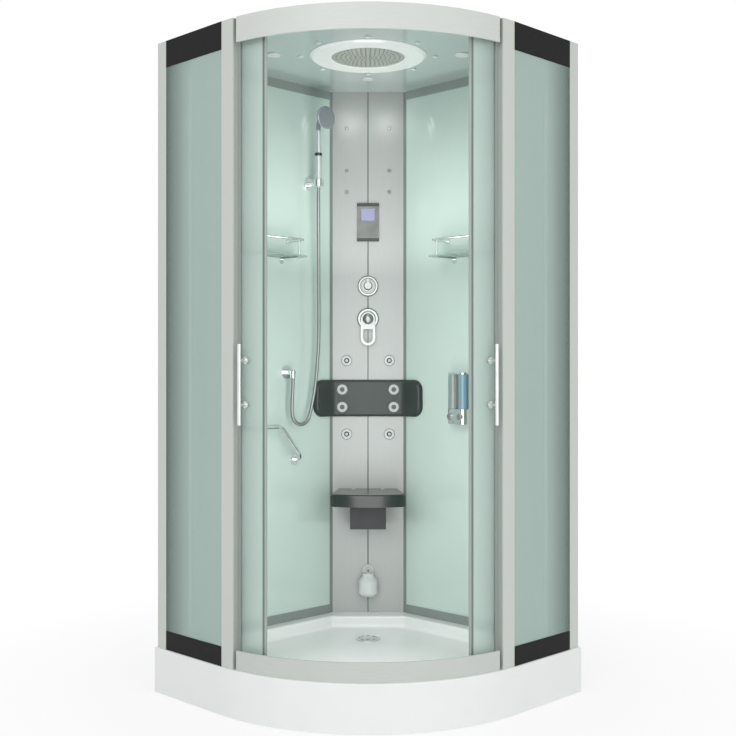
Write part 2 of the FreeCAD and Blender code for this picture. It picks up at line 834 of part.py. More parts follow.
def column_sheets():
    tall = f"{CEILING} - tray_height"
    left = body("column_sheet", COLUMN)
    outline = rectangle("-column_half + edge_strip", "tray_height", "-seam/2 - 0.2", CEILING)
    pad(left, [outline], "-sheet", "sheet")
    whole = pair(left)
    holes = []

    def hole(x, z, radius):
        holes.append(rod(COLUMN, (x, z, "-sheet - 1"), radius, "sheet + 2"))

    for side in ("-", ""):
        for height in ("jet_low", "jet_high"):
            hole(f"{side}jet_x", height, "socket - 5.8")
        for height in MICRO_JETS:
            hole(f"{side}jet_x", height, "4.2")
        for shift in ("massage_dz", "-massage_dz"):
            hole(f"{side}massage_x", f"back_z + {shift}", "13.2")
    hole("0", "diverter_z", "16.2")
    hole("0", "mixer_z", "18.2")
    hole("0", "steam_z", "9.2")
    low = ("-panel_half + 6.3", "panel_low + 5.8", "-sheet - 1")
    high = ("panel_half - 6.3", "panel_low + panel_tall - 5.8", "1")
    node("column_panels", cut(whole, *holes, block(COLUMN, low, high)))

    # the edge strip closes the wedge between a sheet and the wall glass beside it
    strip = body("edge_strip", ROW)
    on_glass, on_sheet = strip_face("-")
    outline = [
        on_glass,
        on_sheet,
        (on_sheet[0], f"{COLUMN_Y} + 10"),
        (f"{on_sheet[0]} - 11", f"{COLUMN_Y} + 10"),
        (f"-({STRIP_T} + wall_glass)/sqrt(2)", f"{WALL_Y} - ({STRIP_T} - wall_glass)/sqrt(2)"),
    ]
    pad(strip, [outline], "tray_height", tall)
    seam_low = ("-seam/2", "tray_height", "-sheet - 5.5")
    seam_high = ("seam/2", CEILING, "-1")
    gaps = [
        block(COLUMN, (f"{low[0]} - 1", f"{low[1]} - 1", "-9"), (f"{high[0]} + 1", f"{high[1]} + 1", "1")),
        rod(COLUMN, ("0", "diverter_z", "-9"), "22.3", "9"),
        rod(COLUMN, ("0", "mixer_z", "-9"), "26.3", "9"),
        rod(COLUMN, ("0", "steam_z", "-9"), "9.2", "9"),
    ]
    seam = cut(block(COLUMN, seam_low, seam_high), *gaps)
    node("column_trims", group(strip, mirrored(strip), seam))


def control_panel():
    panel = body("control_panel", COLUMN)
    high = "panel_low + panel_tall"
    pad(panel, [rounded("-panel_half", "panel_low", "panel_half", high, "4")], "0", "8")
    box = rectangle("-panel_half + 6.5", "panel_low + 6", "panel_half - 6.5", f"{high} - 6")
    pad(panel, [box], "-sheet - 10", "sheet + 10.5")
    window = rectangle("-display_half", "display_low", "display_half", "display_low + display_tall")
    pocket(panel, [window], "8", "1.5")
    node("control_panel", panel)
    display = body("control_display", COLUMN)
    low = "display_low + 0.2"
    high = "display_low + display_tall - 0.2"
    glass = rounded("-display_half + 0.2", low, "display_half - 0.2", high, "2")
    pad(display, [glass], "6.5", "1.7")
    node("control_display", display)


def diverter():
    at = ("0", "diverter_z", "0")
    profile = [
        ("0", "-44"),
        ("22", "-44"),
        ("22", "-sheet - 0.1"),
        ("16", "-sheet - 0.1"),
        ("16", "0"),
        ("diverter_ring", "0"),
        ("diverter_ring", "4"),
        ("diverter_ring - 4", "8"),
        ("24", "8"),
        ("22", "11"),
        ("spindle", "11"),
        ("spindle", "20"),
        ("0", "20"),
    ]
    node("diverter_valve", turned("diverter_body", profile, COLUMN, at))
    knob = [
        ("0", f"20 + {RUN}"),
        (f"spindle + {FIT}", f"20 + {RUN}"),
        (f"spindle + {FIT}", f"11 + {RUN}"),
        ("15.5", f"11 + {RUN}"),
        ("17", "14"),
        ("17", "29"),
        ("13", "33"),
        ("0", "33"),
    ]
    grip = block(COLUMN, ("-3.5", "diverter_z - 4", "24"), ("3.5", "diverter_z + 26", "36"))
    node("diverter_knob", fuse(turned("knob", knob, COLUMN, at), grip))


LEVER_OUT = "(18.5)"


def mixer():
    at = ("0", "mixer_z", "0")
    profile = [
        ("0", "-46"),
        ("26", "-46"),
        ("26", "-sheet - 0.1"),
        ("18", "-sheet - 0.1"),
        ("18", "0"),
        ("mixer_ring", "0"),
        ("mixer_ring", "4"),
        ("mixer_ring - 5", "8"),
        ("27", "8"),
        ("25", "10.5"),
        ("spindle", "10.5"),
        ("spindle", "14"),
        ("0", "14"),
    ]
    base = turned("mixer_body", profile, COLUMN, at)
    arms = []
    for side in ("-", ""):
        low = "-inlet_x" if side else "0"
        neck = "inlet_radius - 1.5"
        arms.append(rod(COLUMN, (low, "mixer_z", "-pipe_back"), neck, "inlet_x", TO_X))
        arms.append(knuckle(COLUMN, (f"{side}inlet_x", "mixer_z", "-pipe_back"), neck))
        arms.append(rod(COLUMN, (f"{side}inlet_x", "mixer_z", "-pipe_back - 31"), neck, "31"))
        thread = (f"{side}inlet_x", "mixer_z", "-pipe_back - 31 - inlet_length")
        arms.append(rod(COLUMN, thread, "inlet_radius", "inlet_length"))
    node("mixer_valve", fuse(base, *arms))

    hub = [
        ("0", f"14 + {RUN}"),
        (f"spindle + {FIT}", f"14 + {RUN}"),
        (f"spindle + {FIT}", f"10.5 + {RUN}"),
        ("hub_radius", f"10.5 + {RUN}"),
        ("hub_radius", "27"),
        ("hub_radius - 3", "32", "((hub_radius - 3)^2 + 25)/10"),
        ("0", "37"),
    ]
    hub_body = turned("hub", hub, COLUMN, at)
    cross = rod(COLUMN, ("-hub_radius - 1", "mixer_z", LEVER_OUT), f"3 + {FIT}", "2*hub_radius + 2", TO_X)
    node("mixer_hub", cut(hub_body, cross))

    # the lever is a bail: two arms beside the hub and an open loop below it
    lever = body("lever", COLUMN)
    inner_x = f"hub_radius + 2*{RUN}"
    arm = "(lever_half - 1.5)"
    foot = "mixer_z - lever_drop"
    outer = [
        (f"-{arm}", "mixer_z + 6"),
        (f"-{arm}", "mixer_z - 20"),
        ("-lever_half", "mixer_z - 30"),
        ("-lever_half", f"{foot} + lever_half", "lever_half"),
        ("0", foot, "lever_half"),
        ("lever_half", f"{foot} + lever_half"),
        ("lever_half", "mixer_z - 30"),
        (arm, "mixer_z - 20"),
        (arm, "mixer_z + 6"),
        (inner_x, "mixer_z + 6"),
        (inner_x, "mixer_z - 12"),
        ("12", "mixer_z - 24"),
        ("-12", "mixer_z - 24"),
        (f"-({inner_x})", "mixer_z - 12"),
        (f"-({inner_x})", "mixer_z + 6"),
    ]
    loop_half = "(lever_half - 10)"
    hole = [
        (f"-{loop_half}", "mixer_z - 40"),
        (f"-{loop_half}", f"{foot} + lever_half", loop_half),
        ("0", f"{foot} + 10", loop_half),
        (loop_half, f"{foot} + lever_half"),
        (loop_half, "mixer_z - 40"),
    ]
    pad(lever, [outer, hole], f"{LEVER_OUT} - 4.5", "9")
    pins = [
        rod(COLUMN, (low, "mixer_z", LEVER_OUT), "3", "hub_radius - 6", TO_X)
        for low in ("-hub_radius - 4", "10")
    ]
    node("mixer_lever", fuse(lever, *pins))


def column_jets():
    behind = "-pipe_back + pipe"
    socket = [
        ("5", behind),
        ("socket - 6", behind),
        ("socket - 6", "0"),
        ("socket", "0"),
        ("socket", "4"),
        ("socket - 1.5", "6"),
        ("ball - 0.4", "6"),
        ("ball - 0.4", "4"),
        ("ball + 0.4", "2.5"),
        ("ball + 0.4", "-ball - 0.4"),
        ("5", "-ball - 0.4"),
    ]
    micro = [("0", behind), ("4", behind), ("4", "0"), ("7", "0"), ("7", "2"), ("5", "3.5"), ("0", "3.5")]
    snout = "sqrt(ball^2 - 64)"
    nozzle = [("0", "-ball", "ball"), (snout, "8"), ("5.5", "14"), ("2.5", "14"), ("2.5", "9"), ("0", "9")]
    jets = []
    number = 0
    for side in ("-", ""):
        x = f"{side}jet_x"
        for height in ("jet_high", "jet_low"):
            number += 1
            at = (x, height, "0")
            jets.append(turned(f"socket_{number}", socket, COLUMN, at))
            node(f"jet_nozzle_{number}", turned(f"jet_nozzle_{number}", nozzle, COLUMN, at))
        for height in MICRO_JETS:
            jets.append(turned("micro_jet", micro, COLUMN, (x, height, "0")))
    node("column_jets", group(*jets))


def backrest():
    # in plan the pad lies on the column and folds forward along both walls
    plan = body("back_plan", ROW)
    low = "(back_z - back_tall/2)"
    fold = "(sqrt(2)*(column_half + back_thick) - back_thick)"
    tip = "(column_half*sqrt(2) + back_wing)"

    def on_wall(along, off, side):
        x = f"(({along}) - ({off}))/sqrt(2)"
        return (f"-{x}" if side < 0 else x, f"{WALL_Y} - (({along}) + ({off}))/sqrt(2)")

    wing = [
        ("0.2", tip),
        ("back_thick - 8", f"{tip} - 4"),
        ("back_thick", f"{tip} - 18"),
        ("back_thick", fold),
    ]
    left_glass, left_sheet = strip_face("-")
    right_glass, right_sheet = strip_face("")
    outline = [
        (right_sheet[0], COLUMN_Y),
        (left_sheet[0], COLUMN_Y),
        left_sheet,
        left_glass,
        *(on_wall(along, off, -1) for off, along in wing),
        *(on_wall(along, off, 1) for off, along in reversed(wing)),
        right_glass,
        right_sheet,
    ]
    pad(plan, [outline], low, "back_tall")
    front = body("back_front", COLUMN)
    half = f"({tip}/sqrt(2))"
    corner = "38"
    face = rounded(f"-{half}", low, half, f"{low} + back_tall", corner)
    pad(front, [face], "-5", "200")
    holes = []
    jets = []
    profile = [
        ("0", "-12"),
        ("13", "-12"),
        ("13", "back_thick + 0.1"),
        ("26", "back_thick + 0.1"),
        ("25", "back_thick + 3"),
        ("19", "back_thick + 3"),
        ("18.5", "back_thick + 5.5"),
        ("0", "back_thick + 6.5"),
    ]
    for side in ("-", ""):
        for shift in ("massage_dz", "-massage_dz"):
            at = (f"{side}massage_x", f"back_z + {shift}", "0")
            holes.append(rod(COLUMN, (at[0], at[1], "-1"), "13.1", "back_thick + 10"))
            jets.append(turned("massage_jet", profile, COLUMN, at))
    node("backrest", cut(common(plan, front), *holes))
    node("backrest_jets", group(*jets))


def seat():
    under = "(seat_top - seat_thick)"
    axis = "(seat_top - seat_thick/2)"
    # bracket: a hollow block with a low shelf at the back, two hinge lugs and a front stop
    shell = body("bracket_shell", COLUMN)
    low, half, out = "bracket_low", "bracket_half", "bracket_out"
    pad(shell, [rectangle(f"-{half}", low, half, f"{under} - 13")], "0", out)
    pad(shell, [rectangle(f"-{half}", low, half, f"{under} - {RUN}")], "64", f"{out} - 64")
    inside = rectangle(f"-{half} + 4", f"{low} + 4", f"{half} - 4", f"{under} - 17")
    pocket(shell, [inside], "0", f"{out} - 5", up=True)
    lugs = []
    for x in ("-60", "50"):
        lug = block(COLUMN, (x, f"{under} - 14", "8"), (f"{x} + 10", f"{axis} + 10", "hinge_out + 10"))
        lugs.append(lug)
    bore = rod(COLUMN, ("-70", axis, "hinge_out"), "hinge_pin", "140", TO_X)
    pin = rod(COLUMN, ("-62", axis, "hinge_out"), "hinge_pin", "124", TO_X)
    node("seat_bracket", group(cut(fuse(shell, *lugs), bore), pin))

    plate = body("seat_plate", ROW)
    rear = f"({COLUMN_Y} - seat_gap)"
    wide = f"({COLUMN_Y} - seat_reach + 46)"
    lip = f"({COLUMN_Y} - seat_reach + 24)"
    tip = f"({COLUMN_Y} - seat_reach)"
    crown = "((seat_front/2 - 10)^2/48 + 12)"
    outline = [
        ("-seat_rear/2", rear),
        ("-seat_front/2", wide),
        ("-seat_front/2", f"{lip} + 8"),
        ("-seat_front/2 + 10", lip, crown),
        ("seat_front/2 - 10", lip),
        ("seat_front/2", f"{lip} + 8"),
        ("seat_front/2", wide),
        ("seat_rear/2", rear),
    ]
    pad(plate, [outline], under, "seat_thick")
    level = at_level("seat_top")
    behind = value(rear)
    round_edges(plate, "8", lambda box: level(box) and box.YMin < behind - 1)
    notches = []
    for x in ("-62", "48"):
        far = (f"{x} + 14", "seat_top + 1", "hinge_out + 24")
        notches.append(block(COLUMN, (x, f"{under} - 1", "5"), far))
    far = ("seat_rear", f"{under} + 10", "hinge_out - 8")
    heel = block(COLUMN, ("-seat_rear", f"{under} - 1", "0"), far)
    bore = rod(COLUMN, ("-160", axis, "hinge_out"), f"hinge_pin + {FIT}", "320", TO_X)
    node("seat_panel", cut(plate, *notches, heel, bore))


def steam_fittings():
    at = ("0", "steam_z", "0")
    profile = [
        ("5", "-pipe_back"),
        ("9", "-pipe_back"),
        ("9", "0"),
        ("24", "0"),
        ("24", "3"),
        ("22", "7"),
        ("20", "10"),
        ("16", "10"),
        ("15", "9"),
        ("15", "2"),
        ("5", "2"),
    ]
    collar = turned("steam_collar", profile, COLUMN, at)
    cup_top = "(cup_low + cup_tall)"
    peg_z = f"({cup_top} - 36)"
    plate = block(COLUMN, ("-14", f"{peg_z} - 6", "0"), ("14", "steam_z - 18", "3.6"))
    pegs = [rod(COLUMN, (x, peg_z, "0"), "2.5", "9.5") for x in ("-9", "9")]
    node("steam_outlet", fuse(collar, plate, *pegs))

    centre = ("0", f"{COLUMN_Y} - cup_radius - 3.6 - {RUN}", "0")
    wall = "3"
    profile = [
        ("0", "cup_low"),
        ("cup_radius - 8", "cup_low"),
        ("cup_radius", "cup_low + 9"),
        ("cup_radius", f"{cup_top} - 28"),
        ("cup_radius - cup_neck", f"{cup_top} - 10"),
        ("cup_radius - cup_neck", cup_top),
        (f"cup_radius - cup_neck - {wall}", cup_top),
        (f"cup_radius - cup_neck - {wall}", f"{cup_top} - 11"),
        (f"cup_radius - {wall}", f"{cup_top} - 29"),
        (f"cup_radius - {wall}", "cup_low + 9"),
        ("cup_radius - 9", f"cup_low + {wall}"),
        ("0", f"cup_low + {wall}"),
    ]
    cup = turned("cup", profile, ROW, centre)
    holes = [rod(COLUMN, (x, peg_z, "1"), f"2.5 + {FIT}", "14") for x in ("-9", "9")]
    node("aroma_cup", cut(cup, *holes))


def steam_generator():
    low = ("-60", "380", "-sheet - 5.6 - 65")
    high = ("60", "730", "-sheet - 5.6")
    box = block(COLUMN, low, high)
    edges = doc.addObject("Part::Fillet", "Rounded")
    edges.Base = box
    doc.recompute()
    edges.Edges = [(i, 6, 6) for i in range(1, 13)]
    node("steam_generator", edges)


def supply_pipes():
    back = "-pipe_back"
    post = Rotation(Vector(1, 0, 0), -90)
    pipes = []
    for side in ("-", ""):
        x = f"{side}jet_x"
        low = "jet_low - 15"
        riser = rod(COLUMN, (x, low, back), "pipe", f"{MICRO_JETS[0]} + 12 - ({low})", post)
        link_x = x if side else "22.1"
        link = rod(COLUMN, (link_x, "diverter_z", back), "pipe - 1", "jet_x - 22.1", TO_X)
        pipes.append(fuse(riser, link))
    span = "diverter_z - 22.1 - (mixer_z + 26.1)"
    pipes.append(rod(COLUMN, ("0", "mixer_z + 26.1", back), "pipe", span, post))
    y = f"{COLUMN_Y} + pipe_back"
    roof_z = f"{TOP} - 13"
    places = [("0", y, "diverter_z + 22.1"), ("0", y, roof_z), ("0", "shower_y", roof_z)]
    pipes.append(bar_along("roof_pipe", ROW, places, "pipe - 0.5", 20))
    steam_y = f"{COLUMN_Y} + pipe_back + 22"
    places = [("0", steam_y, "379.9"), ("0", steam_y, "steam_z"), ("0", f"{y} + 0.1", "steam_z")]
    pipes.append(bar_along("steam_pipe", ROW, places, "6", 12))
    feed_low = "730.1"
    feed = rod(COLUMN, ("38", feed_low, back), "4", f"mixer_z - inlet_radius + 1.5 - {feed_low}", post)
    pipes.append(feed)
    node("supply_pipes", group(*pipes))


# --------------------------------------------------------------------------------------- the roof
def dish(inset):
    wall = f"(dish_wall + {inset})"
    radius = f"({RADIUS} - dish_rim - {inset})"
    reach = f"flat + sqrt({radius}^2 - (flat - {wall})^2)"
    return [(wall, wall), (reach, wall, radius), (wall, reach)]


def post_notches():
    """Room in the roof's edge for the tops of the posts and wall profiles."""
    inner = f"({FRAME_RADIUS} - post_depth)"
    end = "-(45 - post_angle)"
    post = arc_band(f"{FRAME_RADIUS} + 1", f"{inner} - 0.2", "-45.1", f"{end} + 0.1")
    lip = arc_band(f"{inner} + lip_skin + 0.2", f"{inner} - 0.2", end, f"{end} + post_lip + 0.1")
    x0 = f"{FRAME_EDGE} - profile_wall - 0.2"
    profile = rectangle(x0, "frame_inset", FRAME_EDGE, "frame_inset + profile_side + 0.2")
    notches = []
    for outline, frame in ((post, ARC), (lip, ARC), (profile, CORNER)):
        notch = body("notch", frame)
        pad(notch, [outline], f"{TOP} - roof_skin - 1", "roof_skin + 2")
        notches += [notch, mirrored(notch)]
    return notches


def roof():
    shell = body("roof_shell", CORNER)
    pad(shell, [quadrant("frame_inset + roof_gap")], f"{TOP} - roof_skin", "roof_skin")
    pad(shell, [dish("0")], CEILING, "roof_depth - 1")
    pocket(shell, [dish("roof_skin")], TOP, "roof_depth - roof_skin")
    round_edges(shell, "cove", at_level(CEILING))
    holes = [
        rod(ROW, ("0", "shower_y", f"{CEILING} - 1"), "12.2", "10"),
        rod(ROW, ("0", f"{COLUMN_Y} + pipe_back", f"{CEILING} - 1"), "pipe + 1", "10"),
    ]
    fittings = []
    stem = "roof_skin + 4"

    def fitting(x, y, radius, thick, shank):
        profile = [
            ("0", f"-{thick}"),
            (f"{radius} - 2", f"-{thick}"),
            (radius, f"-{thick} + 2"),
            (radius, "0"),
            (shank, "0"),
            (shank, stem),
            ("0", stem),
        ]
        fittings.append(turned("roof_fitting", profile, ROW, (x, y, CEILING)))
        holes.append(rod(ROW, (x, y, f"{CEILING} - 1"), f"{shank} + 0.2", "10"))

    for i in range(8):
        angle = 45 * i
        fitting(f"nozzle_circle*cos({angle})", f"shower_y + nozzle_circle*sin({angle})", "9", "5", "5")
    fitting("lamp_x", "lamp_y", "25", "4", "20")
    fitting("-lamp_x", "lamp_y", "25", "4", "20")
    fitting("0", "speaker_y", "21.5", "4", "17")
    node("roof_panel", cut(shell, *holes, *post_notches()))
    node("roof_fittings", group(*fittings))

    at = ("0", "shower_y", CEILING)
    ring = [
        ("ring_inner", "-ring_depth + 2"),
        ("ring_inner + 4", "-ring_depth"),
        ("ring_outer - 10", "-ring_depth"),
        ("ring_outer", "-2"),
        ("ring_outer", "0"),
        ("ring_inner", "0"),
    ]
    node("rain_shower_ring", turned("rain_shower_ring", ring, ROW, at))
    face = [
        ("0", "-ring_depth + 3"),
        ("ring_inner - 3", "-ring_depth + 3"),
        (f"ring_inner - {RUN}", "-ring_depth + 5"),
        (f"ring_inner - {RUN}", "0"),
        ("12", "0"),
        ("12", f"roof_depth - 13 - pipe + 0.4"),
        ("0", f"roof_depth - 13 - pipe + 0.4"),
    ]
    node("rain_shower_face", turned("rain_shower_face", face, ROW, at))


# ---------------------------------------------------------------------------------- wall fittings
def shelves():
    plate = body("shelf_plate", LEFT_WALL)
    near, far, out = "shelf_start", "shelf_end", "shelf_depth"
    outline = [
        (near, "0.5"),
        (far, "0.5"),
        (far, f"{out} - 30", "30"),
        (f"{far} - 30", out),
        (f"{near} + 30", out, "30"),
        (near, f"{out} - 30"),
    ]
    pad(plate, [outline], "shelf_z", "shelf_glass")
    node("shelf_plates", pair(plate))

    first, last, edge = "shelf_start + 12", "shelf_end - 12", "shelf_depth - 12"
    height = "shelf_rail_z"
    places = [(first, "0", height), (first, edge, height), (last, edge, height), (last, "0", height)]
    rail = bar_along("shelf_rail", LEFT_WALL, places, "4", 26)
    uppers = [rail]
    lowers = []
    for t in (f"{first} + 34", f"{last} - 34"):
        base = "shelf_z + shelf_glass"
        uppers.append(rod(LEFT_WALL, (t, edge, base), "3", f"{height} - ({base})"))
        uppers.append(rod(LEFT_WALL, (t, edge, base), "6", "4"))
        arm = rod(LEFT_WALL, (t, "0", "shelf_z - 4"), "4", edge, TO_Y)
        rosette = rod(LEFT_WALL, (t, "0", "shelf_z - 12"), "10", "5", TO_Y)
        lowers.append(fuse(arm, rosette))
    for t in (first, last):
        uppers.append(rod(LEFT_WALL, (t, "0", height), "11", "5", TO_Y))
    left = [fuse(*uppers), *lowers]
    node("shelf_rails", group(*left, *(mirrored(piece) for piece in left)))


GRAB_FAR, GRAB_BEND, GRAB_END = "740", "490", "384"
GRAB_HIGH, GRAB_LOW = "866", "741"


def grab_rail():
    places = [
        (GRAB_FAR, "0", GRAB_HIGH),
        (GRAB_FAR, "50", GRAB_HIGH),
        (GRAB_BEND, "50", GRAB_HIGH),
        (GRAB_END, "50", GRAB_LOW),
        (GRAB_END, "0", GRAB_LOW),
    ]
    bar = bar_along("grab_bar", LEFT_WALL, places, "grab_radius", 40)
    rosettes = [
        rod(LEFT_WALL, (t, "0", z), "grab_radius + 12", "6", TO_Y)
        for t, z in ((GRAB_FAR, GRAB_HIGH), (GRAB_END, GRAB_LOW))
    ]
    node("grab_rail", fuse(bar, *rosettes))


def soap_dispenser():
    x = "(-soap_t)"
    half = "(soap_apart/2 + soap_tank)"
    reach = "(soap_out + soap_tank)"
    corner = "soap_tank"
    low, high = f"{x} - {half}", f"{x} + {half}"
    outline = [
        (low, "0"),
        (high, "0"),
        (high, f"{reach} - {corner}", corner),
        (f"{high} - {corner}", reach),
        (f"{low} + {corner}", reach, corner),
        (low, f"{reach} - {corner}"),
    ]
    housing = body("soap_housing", RIGHT_WALL)
    pad(housing, [outline], "soap_low - soap_foot", "soap_foot")
    pad(housing, [outline], "soap_low + soap_tall", "6")
    plate = rectangle(f"{low} + 6", "0", f"{high} - 6", "soap_plate")
    pad(housing, [plate], "soap_low - 1", "soap_tall + 2")
    button_z = "soap_low - soap_foot/2"
    bores = []
    tanks = []
    buttons = []
    profile = [("0", "0"), ("11", "0"), ("11", "32"), ("8", "35"), ("0", "36")]
    for number, shift in (("1", "+ soap_apart/2"), ("2", "- soap_apart/2")):
        along = f"{x} {shift}"
        bores.append(rod(RIGHT_WALL, (along, "12", button_z), f"11 + {FIT}", reach, TO_Y))
        tank = rod(RIGHT_WALL, (along, "soap_out", f"soap_low + {RUN}"), "soap_tank", f"soap_tall - 2*{RUN}")
        inside = rod(
            RIGHT_WALL,
            (along, "soap_out", f"soap_low + {RUN} + soap_skin"),
            "soap_tank - soap_skin",
            f"soap_tall - 2*{RUN} - 2*soap_skin",
        )
        tanks.append(cut(tank, inside))
        buttons.append(turned(f"button_{number}", profile, RIGHT_WALL, (along, "21", button_z), TO_Y))
    node("soap_dispenser", cut(housing, *bores))
    node("soap_reservoir", group(*tanks))
    for number, button in enumerate(buttons, start=1):
        node(f"soap_button_{number}", button)


def hand_shower():
    foot = ("hand_t", "hand_out", "hand_z")
    arm_z = "hand_z + holder_up"
    holder = rod(LEFT_WALL, ("hand_t", "hand_out", f"{arm_z} - 12"), "19", "24")
    arm = rod(LEFT_WALL, ("hand_t", "0", arm_z), "9", "hand_out - 6", TO_Y)
    rosette = rod(LEFT_WALL, ("hand_t", "0", arm_z), "23", "7", TO_Y)
    bore = rod(LEFT_WALL, foot, f"handle_seat + {RUN}", "80")
    bracket = cut(fuse(holder, arm, rosette), bore)

    # the outlet elbow comes out of the wall and turns down to the hose
    elbow_z = "outlet_z"
    flange = rod(LEFT_WALL, ("outlet_t", "0", elbow_z), "24", "7", TO_Y)
    stub = rod(LEFT_WALL, ("outlet_t", "0", elbow_z), "10", "40", TO_Y)
    ball = knuckle(LEFT_WALL, ("outlet_t", "40", elbow_z), "11")
    spout = rod(LEFT_WALL, ("outlet_t", "40", f"{elbow_z} - 22"), "9", "20")
    node("shower_fittings", group(bracket, fuse(flange, stub, ball, spout)))

    # the handle's shoulder rests on the holder; a collar ends its grip and a slim neck goes on
    shoulder = f"holder_up + 12 + {RUN}"
    grip = [
        ("0", "0"),
        ("8", "0"),
        ("8", "4"),
        ("handle_seat", "7"),
        ("handle_seat", shoulder),
        ("handle_grip", shoulder),
        ("handle_grip", "grip_up - 12"),
        ("handle_grip + 0.8", "grip_up - 12"),
        ("handle_grip + 0.8", "grip_up"),
        ("handle_grip - 1", "grip_up"),
        ("neck_radius", "neck_up"),
        ("0", "neck_up"),
    ]
    handle = turned("handle", grip, LEFT_WALL, foot)
    head_z = "hand_z + head_up"
    places = [
        ("hand_t", "hand_out", "hand_z + neck_up - 2"),
        ("hand_t", "hand_out", head_z),
        ("hand_t", "head_out - head_thick + 3", head_z),
    ]
    neck = bar_along("hand_neck", LEFT_WALL, places, "neck_radius", value("neck_bend"))
    profile = [
        ("0", "-head_thick"),
        ("14", "-head_thick"),
        ("head_radius - 6", "-10"),
        ("head_radius", "-5"),
        ("head_radius", "-1.5"),
        ("head_radius - 3", "0"),
        ("0", "0"),
    ]
    head = turned("head", profile, LEFT_WALL, ("hand_t", "head_out", head_z), TO_Y)
    node("hand_shower", fuse(handle, neck, head))


# the hose from the hand shower's foot to the outlet: along the wall, off the wall, height
HOSE_ROUTE = (
    (312, 53.5, 1700),
    (311, 52.5, 1640),
    (309, 51, 1570),
    (307, 49.5, 1480),
    (305, 48, 1380),
    (303.5, 47, 1280),
    (303, 46.5, 1190),
    (306.5, 45, 1120),
    (312.5, 43.5, 1050),
    (320.5, 42, 990),
    (332, 41, 940),
    (348.4, 40, 884.3),
    (377.6, 40, 867.4),
    (410.7, 40, 874.5),
    (429.5, 40, 900.4),
    (428.5, 40, 960),
    (424.5, 40, 1003),
)


def shower_hose():
    foot = Vector(value("hand_t"), value("hand_out"), value("hand_z") - RUN)
    end = Vector(value("outlet_t"), 40, value("outlet_z") - 22)
    points = [foot, *(Vector(*spot) for spot in HOSE_ROUTE), end]
    bends = limp_bends(points)
    radius = value("hose_radius")
    solid, length = tube(points, radius, bends)
    print("hose: length %.0f mm, bend radii %s" % (length, [round(bend) for bend in bends]))
    print("hose: volume %.0f, section by length %.0f" % (solid.Volume, math.pi * radius ** 2 * length))
    node("shower_hose", solid_feature("hose", solid, LEFT_WALL))


# --------------------------------------------------------------------------------------- the doors
def radial(angle, radius, height):
    """A place at an angle from the front in the arc frame."""
    return (*on_arc(radius, angle), height)


